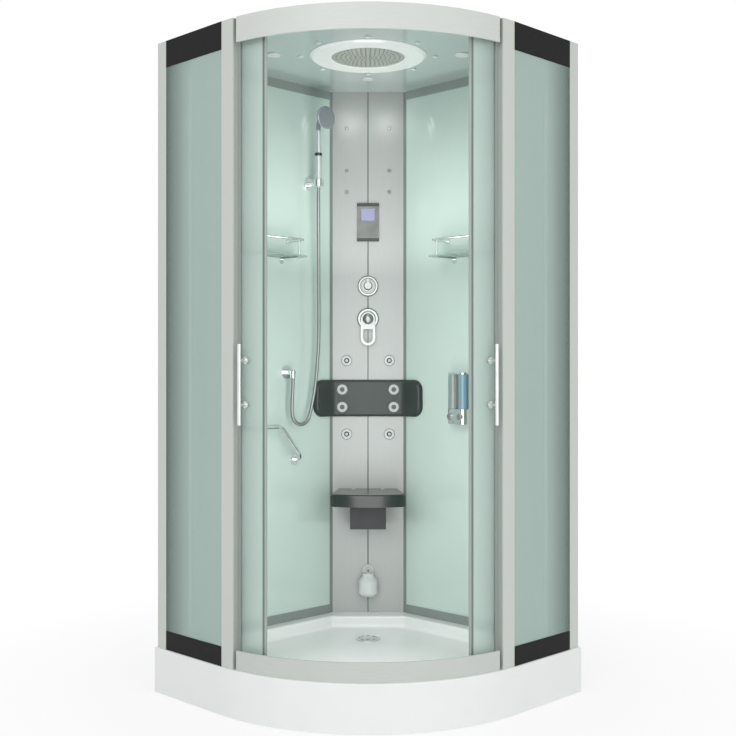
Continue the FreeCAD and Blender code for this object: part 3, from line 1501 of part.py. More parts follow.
def door(side, name):
    """One curved leaf with its fittings; side is -1 for the left door and 1 for the right."""

    def at_angle(text):
        return f"{side}*({text})"

    def span(near, far):
        ends = (at_angle(near), at_angle(far))
        return ends if side > 0 else ends[::-1]

    def pointing(degrees):
        """A turn whose Z axis points outward at that angle."""
        return Rotation(Vector(0, 0, 1), side * degrees).multiply(TO_FRONT)

    def spoke(angle, radius, height, thick, length):
        """A round pin along the radius, inward from a radius."""
        turn = pointing(value(angle))
        start = radial(at_angle(angle), f"{radius} - ({length})", height)
        return rod(ARC, start, thick, length, turn)

    inner = f"({DOOR_RADIUS} - glass)"
    tall = f"{DOOR_TOP} - door_bottom"
    lead = f"{DOOR_OPEN} + seal_angle"
    trail = DOOR_END
    hangers = (f"{DOOR_OPEN} + hanger_angle", f"{DOOR_END} - 3.5")
    hanger_z = f"({DOOR_TOP} - 16)"
    guide_z = "(door_bottom + 12)"
    grip = f"{DOOR_OPEN} + handle_angle"
    standoffs = ("handle_low + 62", "handle_low + handle_tall - 50")

    leaf = body(f"leaf_{name}", ARC)
    pad(leaf, [arc_band(DOOR_RADIUS, inner, *span(lead, trail))], "door_bottom", tall)
    holes = []
    for angle in hangers:
        for height in (hanger_z, guide_z):
            holes.append(spoke(angle, f"{DOOR_RADIUS} + 4", height, f"bolt + {FIT}", "glass + 8"))
    for height in standoffs:
        holes.append(spoke(grip, f"{DOOR_RADIUS} + 4", height, f"bolt + {FIT}", "glass + 8"))
    node(f"door_glass_{name}", cut(leaf, *holes))

    magnet = body(f"magnet_{name}", ARC)
    outline = arc_band(f"{DOOR_RADIUS} + 3", f"{inner} - 3", *span(f"{DOOR_OPEN} + 0.05", lead))
    pad(magnet, [outline], "door_bottom", tall)
    fin = body(f"fin_{name}", ARC)
    outline = arc_band(f"{DOOR_RADIUS} + 3", f"{DOOR_RADIUS} + 0.2", *span(f"{trail} - 0.8", trail))
    pad(fin, [outline], "door_bottom", tall)
    node(f"door_seals_{name}", group(magnet, fin))

    bar_radius = f"({DOOR_RADIUS} + handle_reach)"
    pieces = [rod(ARC, radial(at_angle(grip), bar_radius, "handle_low"), "handle_bar", "handle_tall")]
    for height in standoffs:
        pieces.append(spoke(grip, bar_radius, height, "5", f"handle_reach - {RUN}"))
        pieces.append(spoke(grip, f"{DOOR_RADIUS} + 5", height, "11", f"5 - {RUN}"))
        pieces.append(spoke(grip, f"{DOOR_RADIUS} + 4", height, "bolt", "glass + 10"))
        pieces.append(spoke(grip, f"{inner} - {RUN}", height, "11", "5"))
    node(f"door_handle_{name}", fuse(*pieces))

    axle_z = f"({TOP} - track_lip + wheel_radius + {RUN})"
    head_out = f"{DOOR_RADIUS} + bolt_head + 0.4"
    carriages = []
    for angle in hangers:
        turn = pointing(value(angle))
        # the plate stands 0.4 mm inside the curved glass
        plate_out = f"({inner} - 0.4)"
        foot = f"{DOOR_TOP} - 28"
        plate = hanger_plate(f"plate_{name}", at_angle(angle), turn, plate_out, "13", foot, axle_z)
        bolt = spoke(angle, head_out, hanger_z, "bolt", "glass + 11.4")
        cap = spoke(angle, head_out, hanger_z, "9", "bolt_head")
        axle = spoke(angle, f"{plate_out} - 8", axle_z, "axle", f"{plate_out} - 8 - ({TRACK_RADIUS} - 8.5)")
        stop = spoke(angle, f"{TRACK_RADIUS} - 6.5", axle_z, "6.5", "2.5")
        carriages.append(fuse(plate, bolt, cap, axle, stop))
        foot = "tray_height + 5"
        guide = hanger_plate(f"guide_{name}", at_angle(angle), turn, plate_out, "6", foot, guide_z)
        screw = spoke(angle, head_out, guide_z, "bolt", "glass + 8.4")
        head = spoke(angle, head_out, guide_z, "9", "bolt_head")
        carriages.append(fuse(guide, screw, head))
    node(f"door_carriages_{name}", group(*carriages))

    wheels = []
    half = "wheel_width/2"
    profile = [
        (f"axle + {FIT}", f"-{half}"),
        ("wheel_radius", f"-{half}"),
        ("wheel_radius", f"-{half} + 2.5"),
        ("wheel_radius - 1.5", f"-{half} + 4"),
        ("wheel_radius - 1.5", f"{half} - 4"),
        ("wheel_radius", f"{half} - 2.5"),
        ("wheel_radius", half),
        (f"axle + {FIT}", half),
    ]
    for angle in hangers:
        at = radial(at_angle(angle), TRACK_RADIUS, axle_z)
        wheels.append(turned(f"wheel_{name}", profile, ARC, at, pointing(value(angle))))
    return wheels


def hanger_plate(name, angle, turn, face, thick, low, high):
    """A plate that lies against the leaf's inner face, as wide as a hand's two fingers."""
    plate = body(name, ARC, radial(angle, face, "0"), turn)
    pad(plate, [rounded("-20", low, "20", f"{high} + 12", "5")], f"-{thick}", thick)
    return plate


def doors():
    wheels = door(-1, "left") + door(1, "right")
    for number, wheel in enumerate(wheels, start=1):
        node(f"door_wheel_{number}", wheel)


# ----------------------------------------------------------------------------------- make and save
def check_document():
    broken = [thing.Name for thing in doc.Objects if {"Invalid", "Error"} & set(thing.State)]
    if broken:
        raise ValueError(f"failed objects: {broken}")
    for label, thing in nodes.items():
        shape = thing.Shape
        if shape.isNull() or not shape.isValid() or not shape.Solids:
            raise ValueError(f"{label}: no valid solid")


def save_parts():
    os.makedirs("parts", exist_ok=True)
    for label, thing in nodes.items():
        thing.Shape.exportStep(f"parts/{label}.step")
    print(len(nodes), "nodes,", sum(len(thing.Shape.Solids) for thing in nodes.values()), "solids")


shower_tray()
front_apron()
base_frame()
drain()
side_posts()
top_rail()
bottom_rail()
straight_rails()
side_glass()
wall_panels()
column_sheets()
control_panel()
diverter()
mixer()
column_jets()
backrest()
seat()
steam_fittings()
steam_generator()
supply_pipes()
roof()
shelves()
grab_rail()
soap_dispenser()
hand_shower()
shower_hose()
doors()
doc.recompute()
check_document()
save_parts()
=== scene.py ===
"""Looks of the steam shower cabin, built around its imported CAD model. Metres, row frame."""

import math

import bmesh
import bpy
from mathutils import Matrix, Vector

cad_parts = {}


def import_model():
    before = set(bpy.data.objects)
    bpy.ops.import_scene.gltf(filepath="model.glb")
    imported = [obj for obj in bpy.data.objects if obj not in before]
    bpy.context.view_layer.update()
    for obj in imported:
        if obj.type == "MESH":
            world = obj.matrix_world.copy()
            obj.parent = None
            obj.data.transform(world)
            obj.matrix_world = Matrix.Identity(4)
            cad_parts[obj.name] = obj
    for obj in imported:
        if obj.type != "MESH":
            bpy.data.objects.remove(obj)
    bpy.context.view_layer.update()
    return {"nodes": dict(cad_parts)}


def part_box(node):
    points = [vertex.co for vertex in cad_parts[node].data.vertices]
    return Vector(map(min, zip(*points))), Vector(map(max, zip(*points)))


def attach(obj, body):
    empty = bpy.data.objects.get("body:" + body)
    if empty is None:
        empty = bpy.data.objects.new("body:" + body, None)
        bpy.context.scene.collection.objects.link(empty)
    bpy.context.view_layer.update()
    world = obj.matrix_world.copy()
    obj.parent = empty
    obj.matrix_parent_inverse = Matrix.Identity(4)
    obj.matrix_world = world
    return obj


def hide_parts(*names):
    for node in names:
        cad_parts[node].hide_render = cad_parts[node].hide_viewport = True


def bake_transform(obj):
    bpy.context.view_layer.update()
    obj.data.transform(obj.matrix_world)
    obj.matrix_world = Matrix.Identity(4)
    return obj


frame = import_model()
scene = bpy.context.scene
scene.view_settings.view_transform = "Standard"

# places of the frame that the pieces below share: the plan is a square with sides SIDE, and its
# front corner is an arc that leaves a straight part FLAT at each end
SIDE = 1.0
FLAT = 0.35
CORNER_Y = (FLAT * math.sqrt(2) + SIDE - FLAT) / 2
ARC_Y = (SIDE - FLAT - FLAT * math.sqrt(2)) / 2
WALL_FACE = 0.029
WALL_Y = CORNER_Y - WALL_FACE * math.sqrt(2)
COLUMN_HALF = 0.137
COLUMN_Y = WALL_Y - COLUMN_HALF
PANE_INSET = 0.0075
PROFILE_SIDE = 0.047
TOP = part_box("side_posts")[1][2]


def on_left_wall(along, off, height):
    """A point by its way along the left rear wall from the corner, off it, and up."""
    return Vector((-(along - off) / math.sqrt(2), WALL_Y - (along + off) / math.sqrt(2), height))


def from_corner(x, y, z, side=-1):
    """A point of the plan's own square; side is -1 for the left half and 1 for the mirrored one."""
    return Vector((side * (x - y) / math.sqrt(2), CORNER_Y - (x + y) / math.sqrt(2), z))


# ----------------------------------------------------------------------------------- camera
def camera():
    data = bpy.data.cameras.new("camera")
    data.lens = 54.8
    data.sensor_width = 36
    data.clip_end = 60
    eye = bpy.data.objects.new("camera", data)
    eye.location = (0, -3.85, 1.075)
    eye.rotation_euler = (math.pi / 2, 0, 0)
    scene.collection.objects.link(eye)
    scene.camera = eye


camera()


# -------------------------------------------------------------------------------- materials
def new_material(name, color, rough=0.5, metallic=0.0, alpha=1.0, coat=0.0):
    """A plain Principled material, for the helpers below to dress."""
    made = bpy.data.materials.new(name)
    made.use_nodes = True
    shader = shader_of(made)
    shader.inputs["Base Color"].default_value = (*color, 1)
    shader.inputs["Roughness"].default_value = rough
    shader.inputs["Metallic"].default_value = metallic
    shader.inputs["Alpha"].default_value = alpha
    shader.inputs["Coat Weight"].default_value = coat
    shader.inputs["Coat Roughness"].default_value = 0.06
    return made


def shader_of(made):
    """The Principled shader of a material."""
    return made.node_tree.nodes["Principled BSDF"]


def noise(made, scale, stretch=(1, 1, 1), detail=3.0):
    """A noise that lies in the object's own space; stretch over 1 makes it finer that way."""
    tree = made.node_tree
    place = tree.nodes.new("ShaderNodeTexCoord")
    mapping = tree.nodes.new("ShaderNodeMapping")
    mapping.inputs["Scale"].default_value = stretch
    texture = tree.nodes.new("ShaderNodeTexNoise")
    texture.inputs["Scale"].default_value = scale
    texture.inputs["Detail"].default_value = detail
    tree.links.new(place.outputs["Object"], mapping.inputs["Vector"])
    tree.links.new(mapping.outputs["Vector"], texture.inputs["Vector"])
    return texture.outputs["Fac"]


def axes(made):
    """The object's own x, y and z."""
    tree = made.node_tree
    place = tree.nodes.new("ShaderNodeTexCoord")
    split = tree.nodes.new("ShaderNodeSeparateXYZ")
    tree.links.new(place.outputs["Object"], split.inputs["Vector"])
    return split.outputs


def sum_of(made, operation, first, second=None):
    """One step of arithmetic between sockets or numbers."""
    step = made.node_tree.nodes.new("ShaderNodeMath")
    step.operation = operation
    for i, value in enumerate((first, second)):
        if isinstance(value, (int, float)):
            step.inputs[i].default_value = value
        elif value is not None:
            made.node_tree.links.new(value, step.inputs[i])
    return step.outputs[0]


def share_of(made, value, low, high):
    """0 at low and 1 at high."""
    span = made.node_tree.nodes.new("ShaderNodeMapRange")
    span.inputs["From Min"].default_value = low
    span.inputs["From Max"].default_value = high
    made.node_tree.links.new(value, span.inputs["Value"])
    return span.outputs["Result"]


def off_middle(made):
    """Distance from the cabin's middle plane."""
    return sum_of(made, "ABSOLUTE", axes(made)["X"])


def gap_to(made, value, place):
    """How far a value is from a place, never below 0."""
    return sum_of(made, "ABSOLUTE", sum_of(made, "SUBTRACT", value, place))


def length_of(made, first, second):
    """Length of the line whose two legs are given."""
    squares = [sum_of(made, "POWER", leg, 2.0) for leg in (first, second)]
    return sum_of(made, "SQRT", sum_of(made, "ADD", *squares))


def from_point(made, x, other, up="Z"):
    """Distance from the line through x and a place of one more axis."""
    return length_of(made, gap_to(made, axes(made)["X"], x), gap_to(made, axes(made)[up], other))


def colours(made, fac, *stops, sharp=False):
    """Base colour from stops (place, colour) along fac."""
    tree = made.node_tree
    ramp = tree.nodes.new("ShaderNodeValToRGB")
    line = ramp.color_ramp
    line.interpolation = "CONSTANT" if sharp else "LINEAR"
    for i, (place, color) in enumerate(stops):
        stop = line.elements[i] if i < 2 else line.elements.new(place)
        stop.position = place
        stop.color = (*color, 1)
    tree.links.new(fac, ramp.inputs["Fac"])
    tree.links.new(ramp.outputs["Color"], shader_of(made).inputs["Base Color"])


def roughness(made, fac, low, high):
    """Roughness that goes from low to high with fac."""
    tree = made.node_tree
    span = tree.nodes.new("ShaderNodeMapRange")
    span.inputs["To Min"].default_value = low
    span.inputs["To Max"].default_value = high
    tree.links.new(fac, span.inputs["Value"])
    tree.links.new(span.outputs["Result"], shader_of(made).inputs["Roughness"])


def relief(made, fac, depth, strength):
    """A bump as high as depth where fac is 1."""
    tree = made.node_tree
    bump = tree.nodes.new("ShaderNodeBump")
    bump.inputs["Distance"].default_value = depth
    bump.inputs["Strength"].default_value = strength
    tree.links.new(fac, bump.inputs["Height"])
    tree.links.new(bump.outputs["Normal"], shader_of(made).inputs["Normal"])


def shades(color, spread):
    """The colour a little darker and a little lighter."""
    dark = tuple(part * (1 - spread) for part in color)
    light = tuple(min(1, part * (1 + spread)) for part in color)
    return dark, light


def moulded(name, color, rough, grain=900, depth=0.0002, spread=0.03, coat=0.0):
    """Moulded plastic: faint colour drift and a fine skin."""
    made = new_material(name, color, rough, coat=coat)
    dark, light = shades(color, spread)
    colours(made, noise(made, 9), (0.3, dark), (0.7, light))
    relief(made, noise(made, grain), depth, 0.35)
    roughness(made, noise(made, 40), rough * 0.85, rough * 1.15)
    return made


def extruded(name, color, rough, metallic, lines):
    """Metal with fine drawn lines; lines stretches the noise across them."""
    made = new_material(name, color, rough, metallic)
    dark, light = shades(color, 0.035)
    drawn = noise(made, 60, lines, 2)
    colours(made, drawn, (0.3, dark), (0.7, light))
    roughness(made, drawn, rough * 0.85, rough * 1.2)
    relief(made, drawn, 0.0002, 0.25)
    return made


def plated(name, color=(0.80, 0.81, 0.82), rough=0.09):
    """Bright plate with faint haze and water marks."""
    made = new_material(name, color, rough, 1.0)
    haze = noise(made, 25, detail=4)
    dark, light = shades(color, 0.03)
    colours(made, haze, (0.35, dark), (0.65, light))
    roughness(made, haze, rough * 0.6, rough * 1.5)
    return made


def satin_glass(name, color, alpha, rough):
    """Satin tinted glass: a thin haze of its own colour over what lies behind."""
    made = new_material(name, color, rough, alpha=alpha)
    dark, light = shades(color, 0.02)
    colours(made, noise(made, 3), (0.35, dark), (0.65, light))
    roughness(made, noise(made, 30), rough * 0.8, rough * 1.2)
    made.surface_render_method = "BLENDED"
    return made


def tone(red, green, blue):
    """A screen colour, 11 to 255 a part, as the linear one that shaders take."""
    return tuple(((part / 255 + 0.055) / 1.055) ** 2.4 for part in (red, green, blue))


def graded(name, rough, way, *stops, metallic=0.0, coat=0.0, alpha=1.0, sharp=False, grain=0):
    """A skin whose colour goes over stops along a way through the object's own space."""
    made = new_material(name, stops[0][1], rough, metallic, alpha, coat)
    colours(made, way(made), *stops, sharp=sharp)
    roughness(made, noise(made, 40), rough * 0.85, rough * 1.15)
    if grain:
        relief(made, noise(made, grain), 0.0004, 0.35)
    if alpha < 1:
        made.surface_render_method = "BLENDED"
    return made


def up_between(low, high):
    """A way for graded(): 0 at one height and 1 at another."""
    return lambda made: share_of(made, axes(made)["Z"], low, high)


def sideways_between(low, high):
    """A way for graded(): from the middle plane outwards, alike on both sides."""
    return lambda made: share_of(made, off_middle(made), low, high)


def around(x, other, near, far, up="Z"):
    """A way for graded(): rings about a point of x and one more axis."""
    return lambda made: share_of(made, from_point(made, x, other, up), near, far)


ACRYLIC = moulded(
    "acrylic_white", (0.80, 0.82, 0.81), 0.34, grain=300, depth=0.0003, spread=0.01, coat=0.1,
)
ROOF = moulded("roof_grey", (0.415, 0.482, 0.466), 0.16, grain=300, spread=0.015, coat=0.6)
# the posts are painted darker on their inner side and lip than on their front: painted shade
PROFILE = graded(
    "anodised", 0.42, around(0.0, ARC_Y, 0.600, 0.660, up="Y"),
    (0.0, tone(158, 165, 160)), (0.34, tone(172, 177, 172)), (0.62, tone(198, 203, 197)),
    metallic=0.1, sharp=True,
)
RAIL = extruded("anodised_rail", (0.59, 0.615, 0.59), 0.55, 0.1, (0.4, 0.4, 14))
# the bottom rail is a darker copy of the rail look: painted shade
SHADED_LOW_RAIL = extruded("anodised_low_rail_shaded", (0.54, 0.57, 0.55), 0.55, 0.1, (0.4, 0.4, 14))
# the door glass is painted darker towards its outer edges, beyond 0.318 m from the middle: painted shade
DOOR_GLASS = graded(
    "door_glass", 0.22, sideways_between(0.318, 0.395),
    (0.0, tone(200, 219, 211)), (1.0, tone(170, 186, 181)), alpha=0.62,
)
SHELF_GLASS = satin_glass("shelf_glass", tone(140, 168, 160), 0.55, 0.08)
COLUMN = extruded("brushed_column", (0.455, 0.47, 0.46), 0.5, 0.42, (16, 16, 0.25))
EDGE = moulded("edge_strip", tone(124, 134, 130), 0.4)
TRIM = moulded("trim_dark", (0.055, 0.06, 0.06), 0.45)
# the straight rails below 1 m are painted darker than those above: painted shade
WALL_RAIL = graded(
    "rail_grey", 0.4, up_between(0.0, 2.0),
    (0.0, tone(132, 141, 138)), (0.5, tone(142, 152, 148)), sharp=True,
)
CHROME = plated("chrome")
BRIGHT = plated("bright_chrome", (0.37, 0.385, 0.38), 0.34)
HANDLE = plated("handle_chrome", (0.86, 0.87, 0.86), 0.3)
SATIN_CHROME = plated("satin_chrome", (0.72, 0.73, 0.74), 0.22)
BRASS = plated("brass_raw", (0.62, 0.48, 0.25), 0.4)
STEEL = extruded("steel_bright", (0.6, 0.61, 0.62), 0.3, 1.0, (1, 1, 1))
ZINC = plated("zinc", (0.48, 0.49, 0.5), 0.45)
BRACKET = moulded("seat_bracket", tone(43, 47, 48), 0.5, grain=1400, depth=0.0004)
PALE = moulded("plastic_pale", (0.64, 0.665, 0.66), 0.25, coat=0.3)
JET = plated("jet_bright", (0.31, 0.325, 0.32), 0.36)
BLACK = moulded("plastic_black", (0.02, 0.02, 0.02), 0.5)
WHITE = moulded("shower_white", (0.84, 0.85, 0.84), 0.25, coat=0.3)
FACE = moulded("nozzle_grey", tone(158, 164, 156), 0.35)
SEAL = graded(
    "seal_pale", 0.4, sideways_between(0.300, 0.330),
    (0.0, tone(176, 184, 181)), (0.45, tone(108, 120, 115)), sharp=True,
)
MIRROR = plated("mirror_panel", (0.27, 0.285, 0.275), 0.2)
DISPLAY = moulded("display", tone(160, 162, 196), 0.1, coat=1.0)
# two tank colours, grey-green and blue, with a pale strip at the left edge; the dark strip at the right
# edge is painted shade
RESERVOIR = graded(
    "soap_tanks", 0.1, lambda made: share_of(made, axes(made)["X"], 0.28, 0.37),
    (0.0, tone(150, 172, 176)), (0.12, tone(134, 144, 140)),
    (0.50, tone(112, 150, 166)), (0.78, tone(76, 108, 120)), coat=1.0, sharp=True,
)
HANDSET = graded(
    "hand_shower", 0.24, up_between(1.737, 2.037),
    (0.0, tone(214, 217, 218)), (0.388, tone(70, 74, 76)),
    (0.428, tone(214, 218, 220)), (0.70, tone(172, 175, 182)), metallic=0.55, sharp=True,
)
BAND = new_material("printed_band", (0.0125, 0.0135, 0.0125), 0.55)
shader_of(BAND).inputs["Specular IOR Level"].default_value = 0.15
roughness(BAND, noise(BAND, 40), 0.5, 0.6)
ROLLER = moulded("acetal", (0.7, 0.7, 0.68), 0.4)


def side_pane():
    """Satin glass with painted shade that deepens towards the wall profile."""
    by_profile, by_post = (
        CORNER_Y - math.sqrt(2) * place for place in (PANE_INSET + PROFILE_SIDE, FLAT)
    )

    def towards_post(made):
        along = sum_of(made, "ADD", off_middle(made), axes(made)["Y"])
        return share_of(made, along, by_profile, by_post)

    return graded(
        "side_glass", 0.25, towards_post,
        (0.0, tone(96, 112, 107)), (0.1, tone(130, 150, 143)),
        (0.33, tone(172, 192, 185)), (0.5, tone(184, 206, 199)), alpha=0.62,
    )


SIDE_GLASS = side_pane()


SEAT_HALF = 0.1355
SEAT_REACH = (0.012, 0.238)
SEAT_TOP = (0.6165, 0.6192)


def folding_seat():
    """Glossy teal-grey with painted shade: its front edge dark at both ends, its top darker at the rear
    and lighter towards the front.
    """
    made = new_material("seat_dark", tone(85, 100, 95), 0.24, coat=0.2)
    tree = made.node_tree
    shader = shader_of(made)
    colours(
        made, share_of(made, off_middle(made), 0.0, SEAT_HALF),
        (0.0, tone(45, 52, 50)), (0.6, tone(44, 51, 49)),
        (0.85, tone(42, 51, 48)), (1.0, tone(42, 54, 50)),
    )
    front = shader.inputs["Base Color"].links[0].from_socket
    colours(
        made, share_of(made, axes(made)["Y"], *(COLUMN_Y - reach for reach in SEAT_REACH)),
        (0.0, tone(24, 30, 28)), (0.45, tone(27, 34, 32)),
        (0.75, tone(38, 46, 43)), (1.0, tone(43, 51, 48)),
    )
    top = shader.inputs["Base Color"].links[0].from_socket
    mix = tree.nodes.new("ShaderNodeMix")
    mix.data_type = "RGBA"
    tree.links.new(share_of(made, axes(made)["Z"], *SEAT_TOP), mix.inputs["Factor"])
    tree.links.new(front, mix.inputs[6])
    tree.links.new(top, mix.inputs[7])
    tree.links.new(mix.outputs[2], shader.inputs["Base Color"])
    roughness(made, noise(made, 40), 0.2, 0.3)
    relief(made, noise(made, 1400), 0.0003, 0.3)
    return made


SEAT = folding_seat()


# the backrest's middle height, and its four jets' distances from the middle, sideways and up
PAD_CENTRE = 0.961
MASSAGE_SIDE = 0.097
MASSAGE_RISE = 0.033
MASSAGE_RADIUS = 0.026


def massage_head():
    """Rings of the massage jets: a dark middle, a light disc and a dark rim."""
    made = new_material("massage_jet", tone(150, 155, 152), 0.3, coat=0.3)
    side = gap_to(made, off_middle(made), MASSAGE_SIDE)
    rise = gap_to(made, gap_to(made, axes(made)["Z"], PAD_CENTRE), MASSAGE_RISE)
    colours(
        made, share_of(made, length_of(made, side, rise), 0.0, MASSAGE_RADIUS),
        (0.0, tone(52, 60, 58)), (0.34, tone(176, 184, 181)), (0.73, tone(40, 48, 46)), sharp=True,
    )
    roughness(made, noise(made, 40), 0.26, 0.34)
    return made


MASSAGE = massage_head()


ROSETTE_RADIUS = 0.045


def valve_rings(name, height):
    """Bright turned rosette with one shaded groove."""
    return graded(
        name, 0.27, around(0.0, height, 0.0, ROSETTE_RADIUS),
        (0.0, tone(168, 174, 171)), (0.58, tone(108, 114, 111)), (0.68, tone(170, 175, 172)),
        metallic=0.9, sharp=True,
    )


def lacquered():
    """Glass lacquered on its back, in one even pale green."""
    color = (0.535, 0.65, 0.603)
    made = new_material("lacquered_glass", color, 0.16, coat=0.6)
    dark, light = shades(color, 0.02)
    colours(made, noise(made, 2), (0.35, dark), (0.65, light))
    roughness(made, noise(made, 12), 0.12, 0.2)
    return made


WALL = lacquered()

# look of each piece by the start of its name; the longest start that fits wins
LOOKS = {
    "shower_tray": ACRYLIC, "front_apron": ACRYLIC, "base_frame": ZINC, "levelling_feet": ZINC,
    "drain_trap": BLACK, "drain_cover": SATIN_CHROME, "side_posts": PROFILE, "top_rail": RAIL,
    "bottom_rail": SHADED_LOW_RAIL, "straight_rails": WALL_RAIL, "side_glass": SIDE_GLASS, "wall_panels": WALL,
    "column_panels": COLUMN, "column_trims": EDGE, "control_panel": MIRROR, "control_display": DISPLAY,
    "diverter_valve": valve_rings("diverter_rings", 1.385), "diverter_knob": BRIGHT,
    "mixer_valve": valve_rings("mixer_rings", 1.261), "mixer_hub": BRIGHT,
    "mixer_lever": BRIGHT, "column_jets": JET, "backrest_jets": MASSAGE, "seat_bracket": BRACKET,
    "seat_panel": SEAT, "steam_outlet": PALE, "aroma_cup": PALE,
    "steam_generator": ZINC, "supply_pipes": BRASS, "roof_panel": ROOF, "roof_fittings": PALE,
    "rain_shower_ring": WHITE, "rain_shower_face": FACE, "shelf_plates": SHELF_GLASS,
    "shelf_rails": CHROME, "grab_rail": CHROME, "soap_dispenser": SATIN_CHROME,
    "soap_reservoir": RESERVOIR, "soap_button": BRIGHT, "shower_fittings": CHROME, "hand_shower": HANDSET,
    "door_glass": DOOR_GLASS, "door_seals": SEAL, "door_handle": HANDLE, "door_carriages": STEEL,
    "door_wheel": ROLLER, "jet_nozzle": JET, "shower_hose": CHROME, "backrest": TRIM,
}


def dress():
    """Give each CAD piece its look."""
    starts = sorted(LOOKS, key=len, reverse=True)
    for name, piece in frame["nodes"].items():
        look = next(LOOKS[start] for start in starts if name.startswith(start))
        piece.data.materials.clear()
        piece.data.materials.append(look)


dress()


# ------------------------------------------------------------------------------ mesh helpers
def keep(name, mesh_data, look, body="cabin", smooth=True):
    piece = bpy.data.objects.new(name, mesh_data)
    scene.collection.objects.link(piece)
    mesh_data.materials.append(look)
    if smooth:
        mesh_data.polygons.foreach_set("use_smooth", [True] * len(mesh_data.polygons))
    if body:
        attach(piece, body)
    return piece


def slab(corners, thickness_way):
    """A closed plate from its corner loop, thickened along a vector."""
    shape = bmesh.new()
    near = [shape.verts.new(Vector(spot)) for spot in corners]
    far = [shape.verts.new(Vector(spot) + Vector(thickness_way)) for spot in corners]
    shape.faces.new(near[::-1])
    shape.faces.new(far)
    for i in range(len(near)):
        j = (i + 1) % len(near)
        shape.faces.new((near[i], near[j], far[j], far[i]))
    bmesh.ops.recalc_face_normals(shape, faces=shape.faces)
    return shape


def finished(shape, name):
    """The mesh of a shape that is ready."""
    data = bpy.data.meshes.new(name)
    shape.to_mesh(data)
    shape.free()
    return data


# ---------------------------------------------------------------------------------- the hose
HOSE_RADIUS = 0.0065
HOSE_SIDES = 14
# one turn of the hose's strip: its length, and places along it with their depth under the skin
STRIP_PITCH = 0.0055
STRIP_FORM = ((0.0, 0.0008), (0.12, 0.0001), (0.42, 0.0), (0.58, 0.0), (0.88, 0.0001))
# along the wall, off it, and up: from the hand shower's foot to the wall outlet
HOSE_ROUTE = (
    (0.312, 0.054, 1.7367),
    (0.312, 0.0535, 1.700),
    (0.311, 0.0525, 1.640),
    (0.309, 0.051, 1.570),
    (0.307, 0.0495, 1.480),
    (0.305, 0.048, 1.380),
    (0.3035, 0.047, 1.280),
    (0.303, 0.0465, 1.190),
    (0.3065, 0.045, 1.120),
    (0.3125, 0.0435, 1.050),
    (0.3205, 0.042, 0.990),
    (0.332, 0.041, 0.940),
    (0.3484, 0.040, 0.8843),
    (0.3776, 0.040, 0.8674),
    (0.4107, 0.040, 0.8745),
    (0.4295, 0.040, 0.9004),
    (0.4285, 0.040, 0.960),
    (0.4245, 0.040, 1.003),
    (0.4245, 0.040, 1.038),
)


def hose_curve():
    """The hose's centre line."""
    curve = bpy.data.curves.new("hose_line", "CURVE")
    curve.dimensions = "3D"
    curve.resolution_u = 24
    spline = curve.splines.new("NURBS")
    spline.points.add(len(HOSE_ROUTE) - 1)
    for point, spot in zip(spline.points, HOSE_ROUTE):
        point.co = (*on_left_wall(*spot), 1)
    spline.order_u = 3
    spline.use_endpoint_u = True
    return bpy.data.objects.new("hose_line", curve)


def hose():
    """Spiral metal hose: a tube whose skin has one ring groove per turn of its strip."""
    line = bpy.data.meshes.new_from_object(hose_curve())
    path = [vertex.co.copy() for vertex in line.vertices]
    reach = [0.0]
    for near, far in zip(path, path[1:]):
        reach.append(reach[-1] + (far - near).length)
    total = reach[-1]
    turns = int(total / STRIP_PITCH)
    spots = [
        ((turn + step) * total / turns, depth) for turn in range(turns) for step, depth in STRIP_FORM
    ]
    spots.append((total, STRIP_FORM[0][1]))
    shape = bmesh.new()
    rings = []
    index = 0
    across = None
    for at, depth in spots:
        while index < len(path) - 2 and reach[index + 1] < at:
            index += 1
        share = (at - reach[index]) / (reach[index + 1] - reach[index])
        centre = path[index].lerp(path[index + 1], share)
        ahead = (path[index + 1] - path[index]).normalized()
        before = (path[index] - path[index - 1]).normalized() if index else ahead
        way = before.lerp(ahead, 0.5 + share / 2).normalized()
        across = way.orthogonal() if across is None else across - way * across.dot(way)
        across.normalize()
        other = way.cross(across)
        ring = []
        for i in range(HOSE_SIDES):
            angle = math.tau * i / HOSE_SIDES
            out = across * math.cos(angle) + other * math.sin(angle)
            ring.append(shape.verts.new(centre + out * (HOSE_RADIUS - depth)))
        rings.append(ring)
    for near, far in zip(rings, rings[1:]):
        for i in range(HOSE_SIDES):
            j = (i + 1) % HOSE_SIDES
            shape.faces.new((near[i], near[j], far[j], far[i]))
    shape.faces.new(rings[0][::-1])
    shape.faces.new(rings[-1])
    bmesh.ops.recalc_face_normals(shape, faces=shape.faces)
    name = "shower_hose_tube"
    piece = keep(name, finished(shape, name), HOSE_METAL, None)
    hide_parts("shower_hose")
    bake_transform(piece)


HOSE_METAL = plated("hose_metal", (0.36, 0.38, 0.375), 0.32)
hose()


# ------------------------------------------------------------------------------ glass bands
# bottom and top of the low band, the high band's height, and the print's thickness
BAND_LOW = (0.150, 0.212)
BAND_HIGH = 0.088
PRINT_THICK = 0.0006


def glass_bands():
    """Dark bands printed on the side panes, over the rails behind them."""
    inner = FLAT
    outer = PANE_INSET + PROFILE_SIDE
    face = SIDE - PANE_INSET
    for side, word in ((-1, "left"), (1, "right")):
        for low, high, where in ((*BAND_LOW, "low"), (TOP - BAND_HIGH, TOP, "high")):
            loop = [
                from_corner(face, outer, low, side),
                from_corner(face, inner, low, side),
                from_corner(face, inner, high, side),
                from_corner(face, outer, high, side),
            ]
            out = from_corner(face + PRINT_THICK, outer, low, side) - loop[0]
            name = f"band_{word}_{where}"
            keep(name, finished(slab(loop, out), name), BAND, smooth=False)


glass_bands()


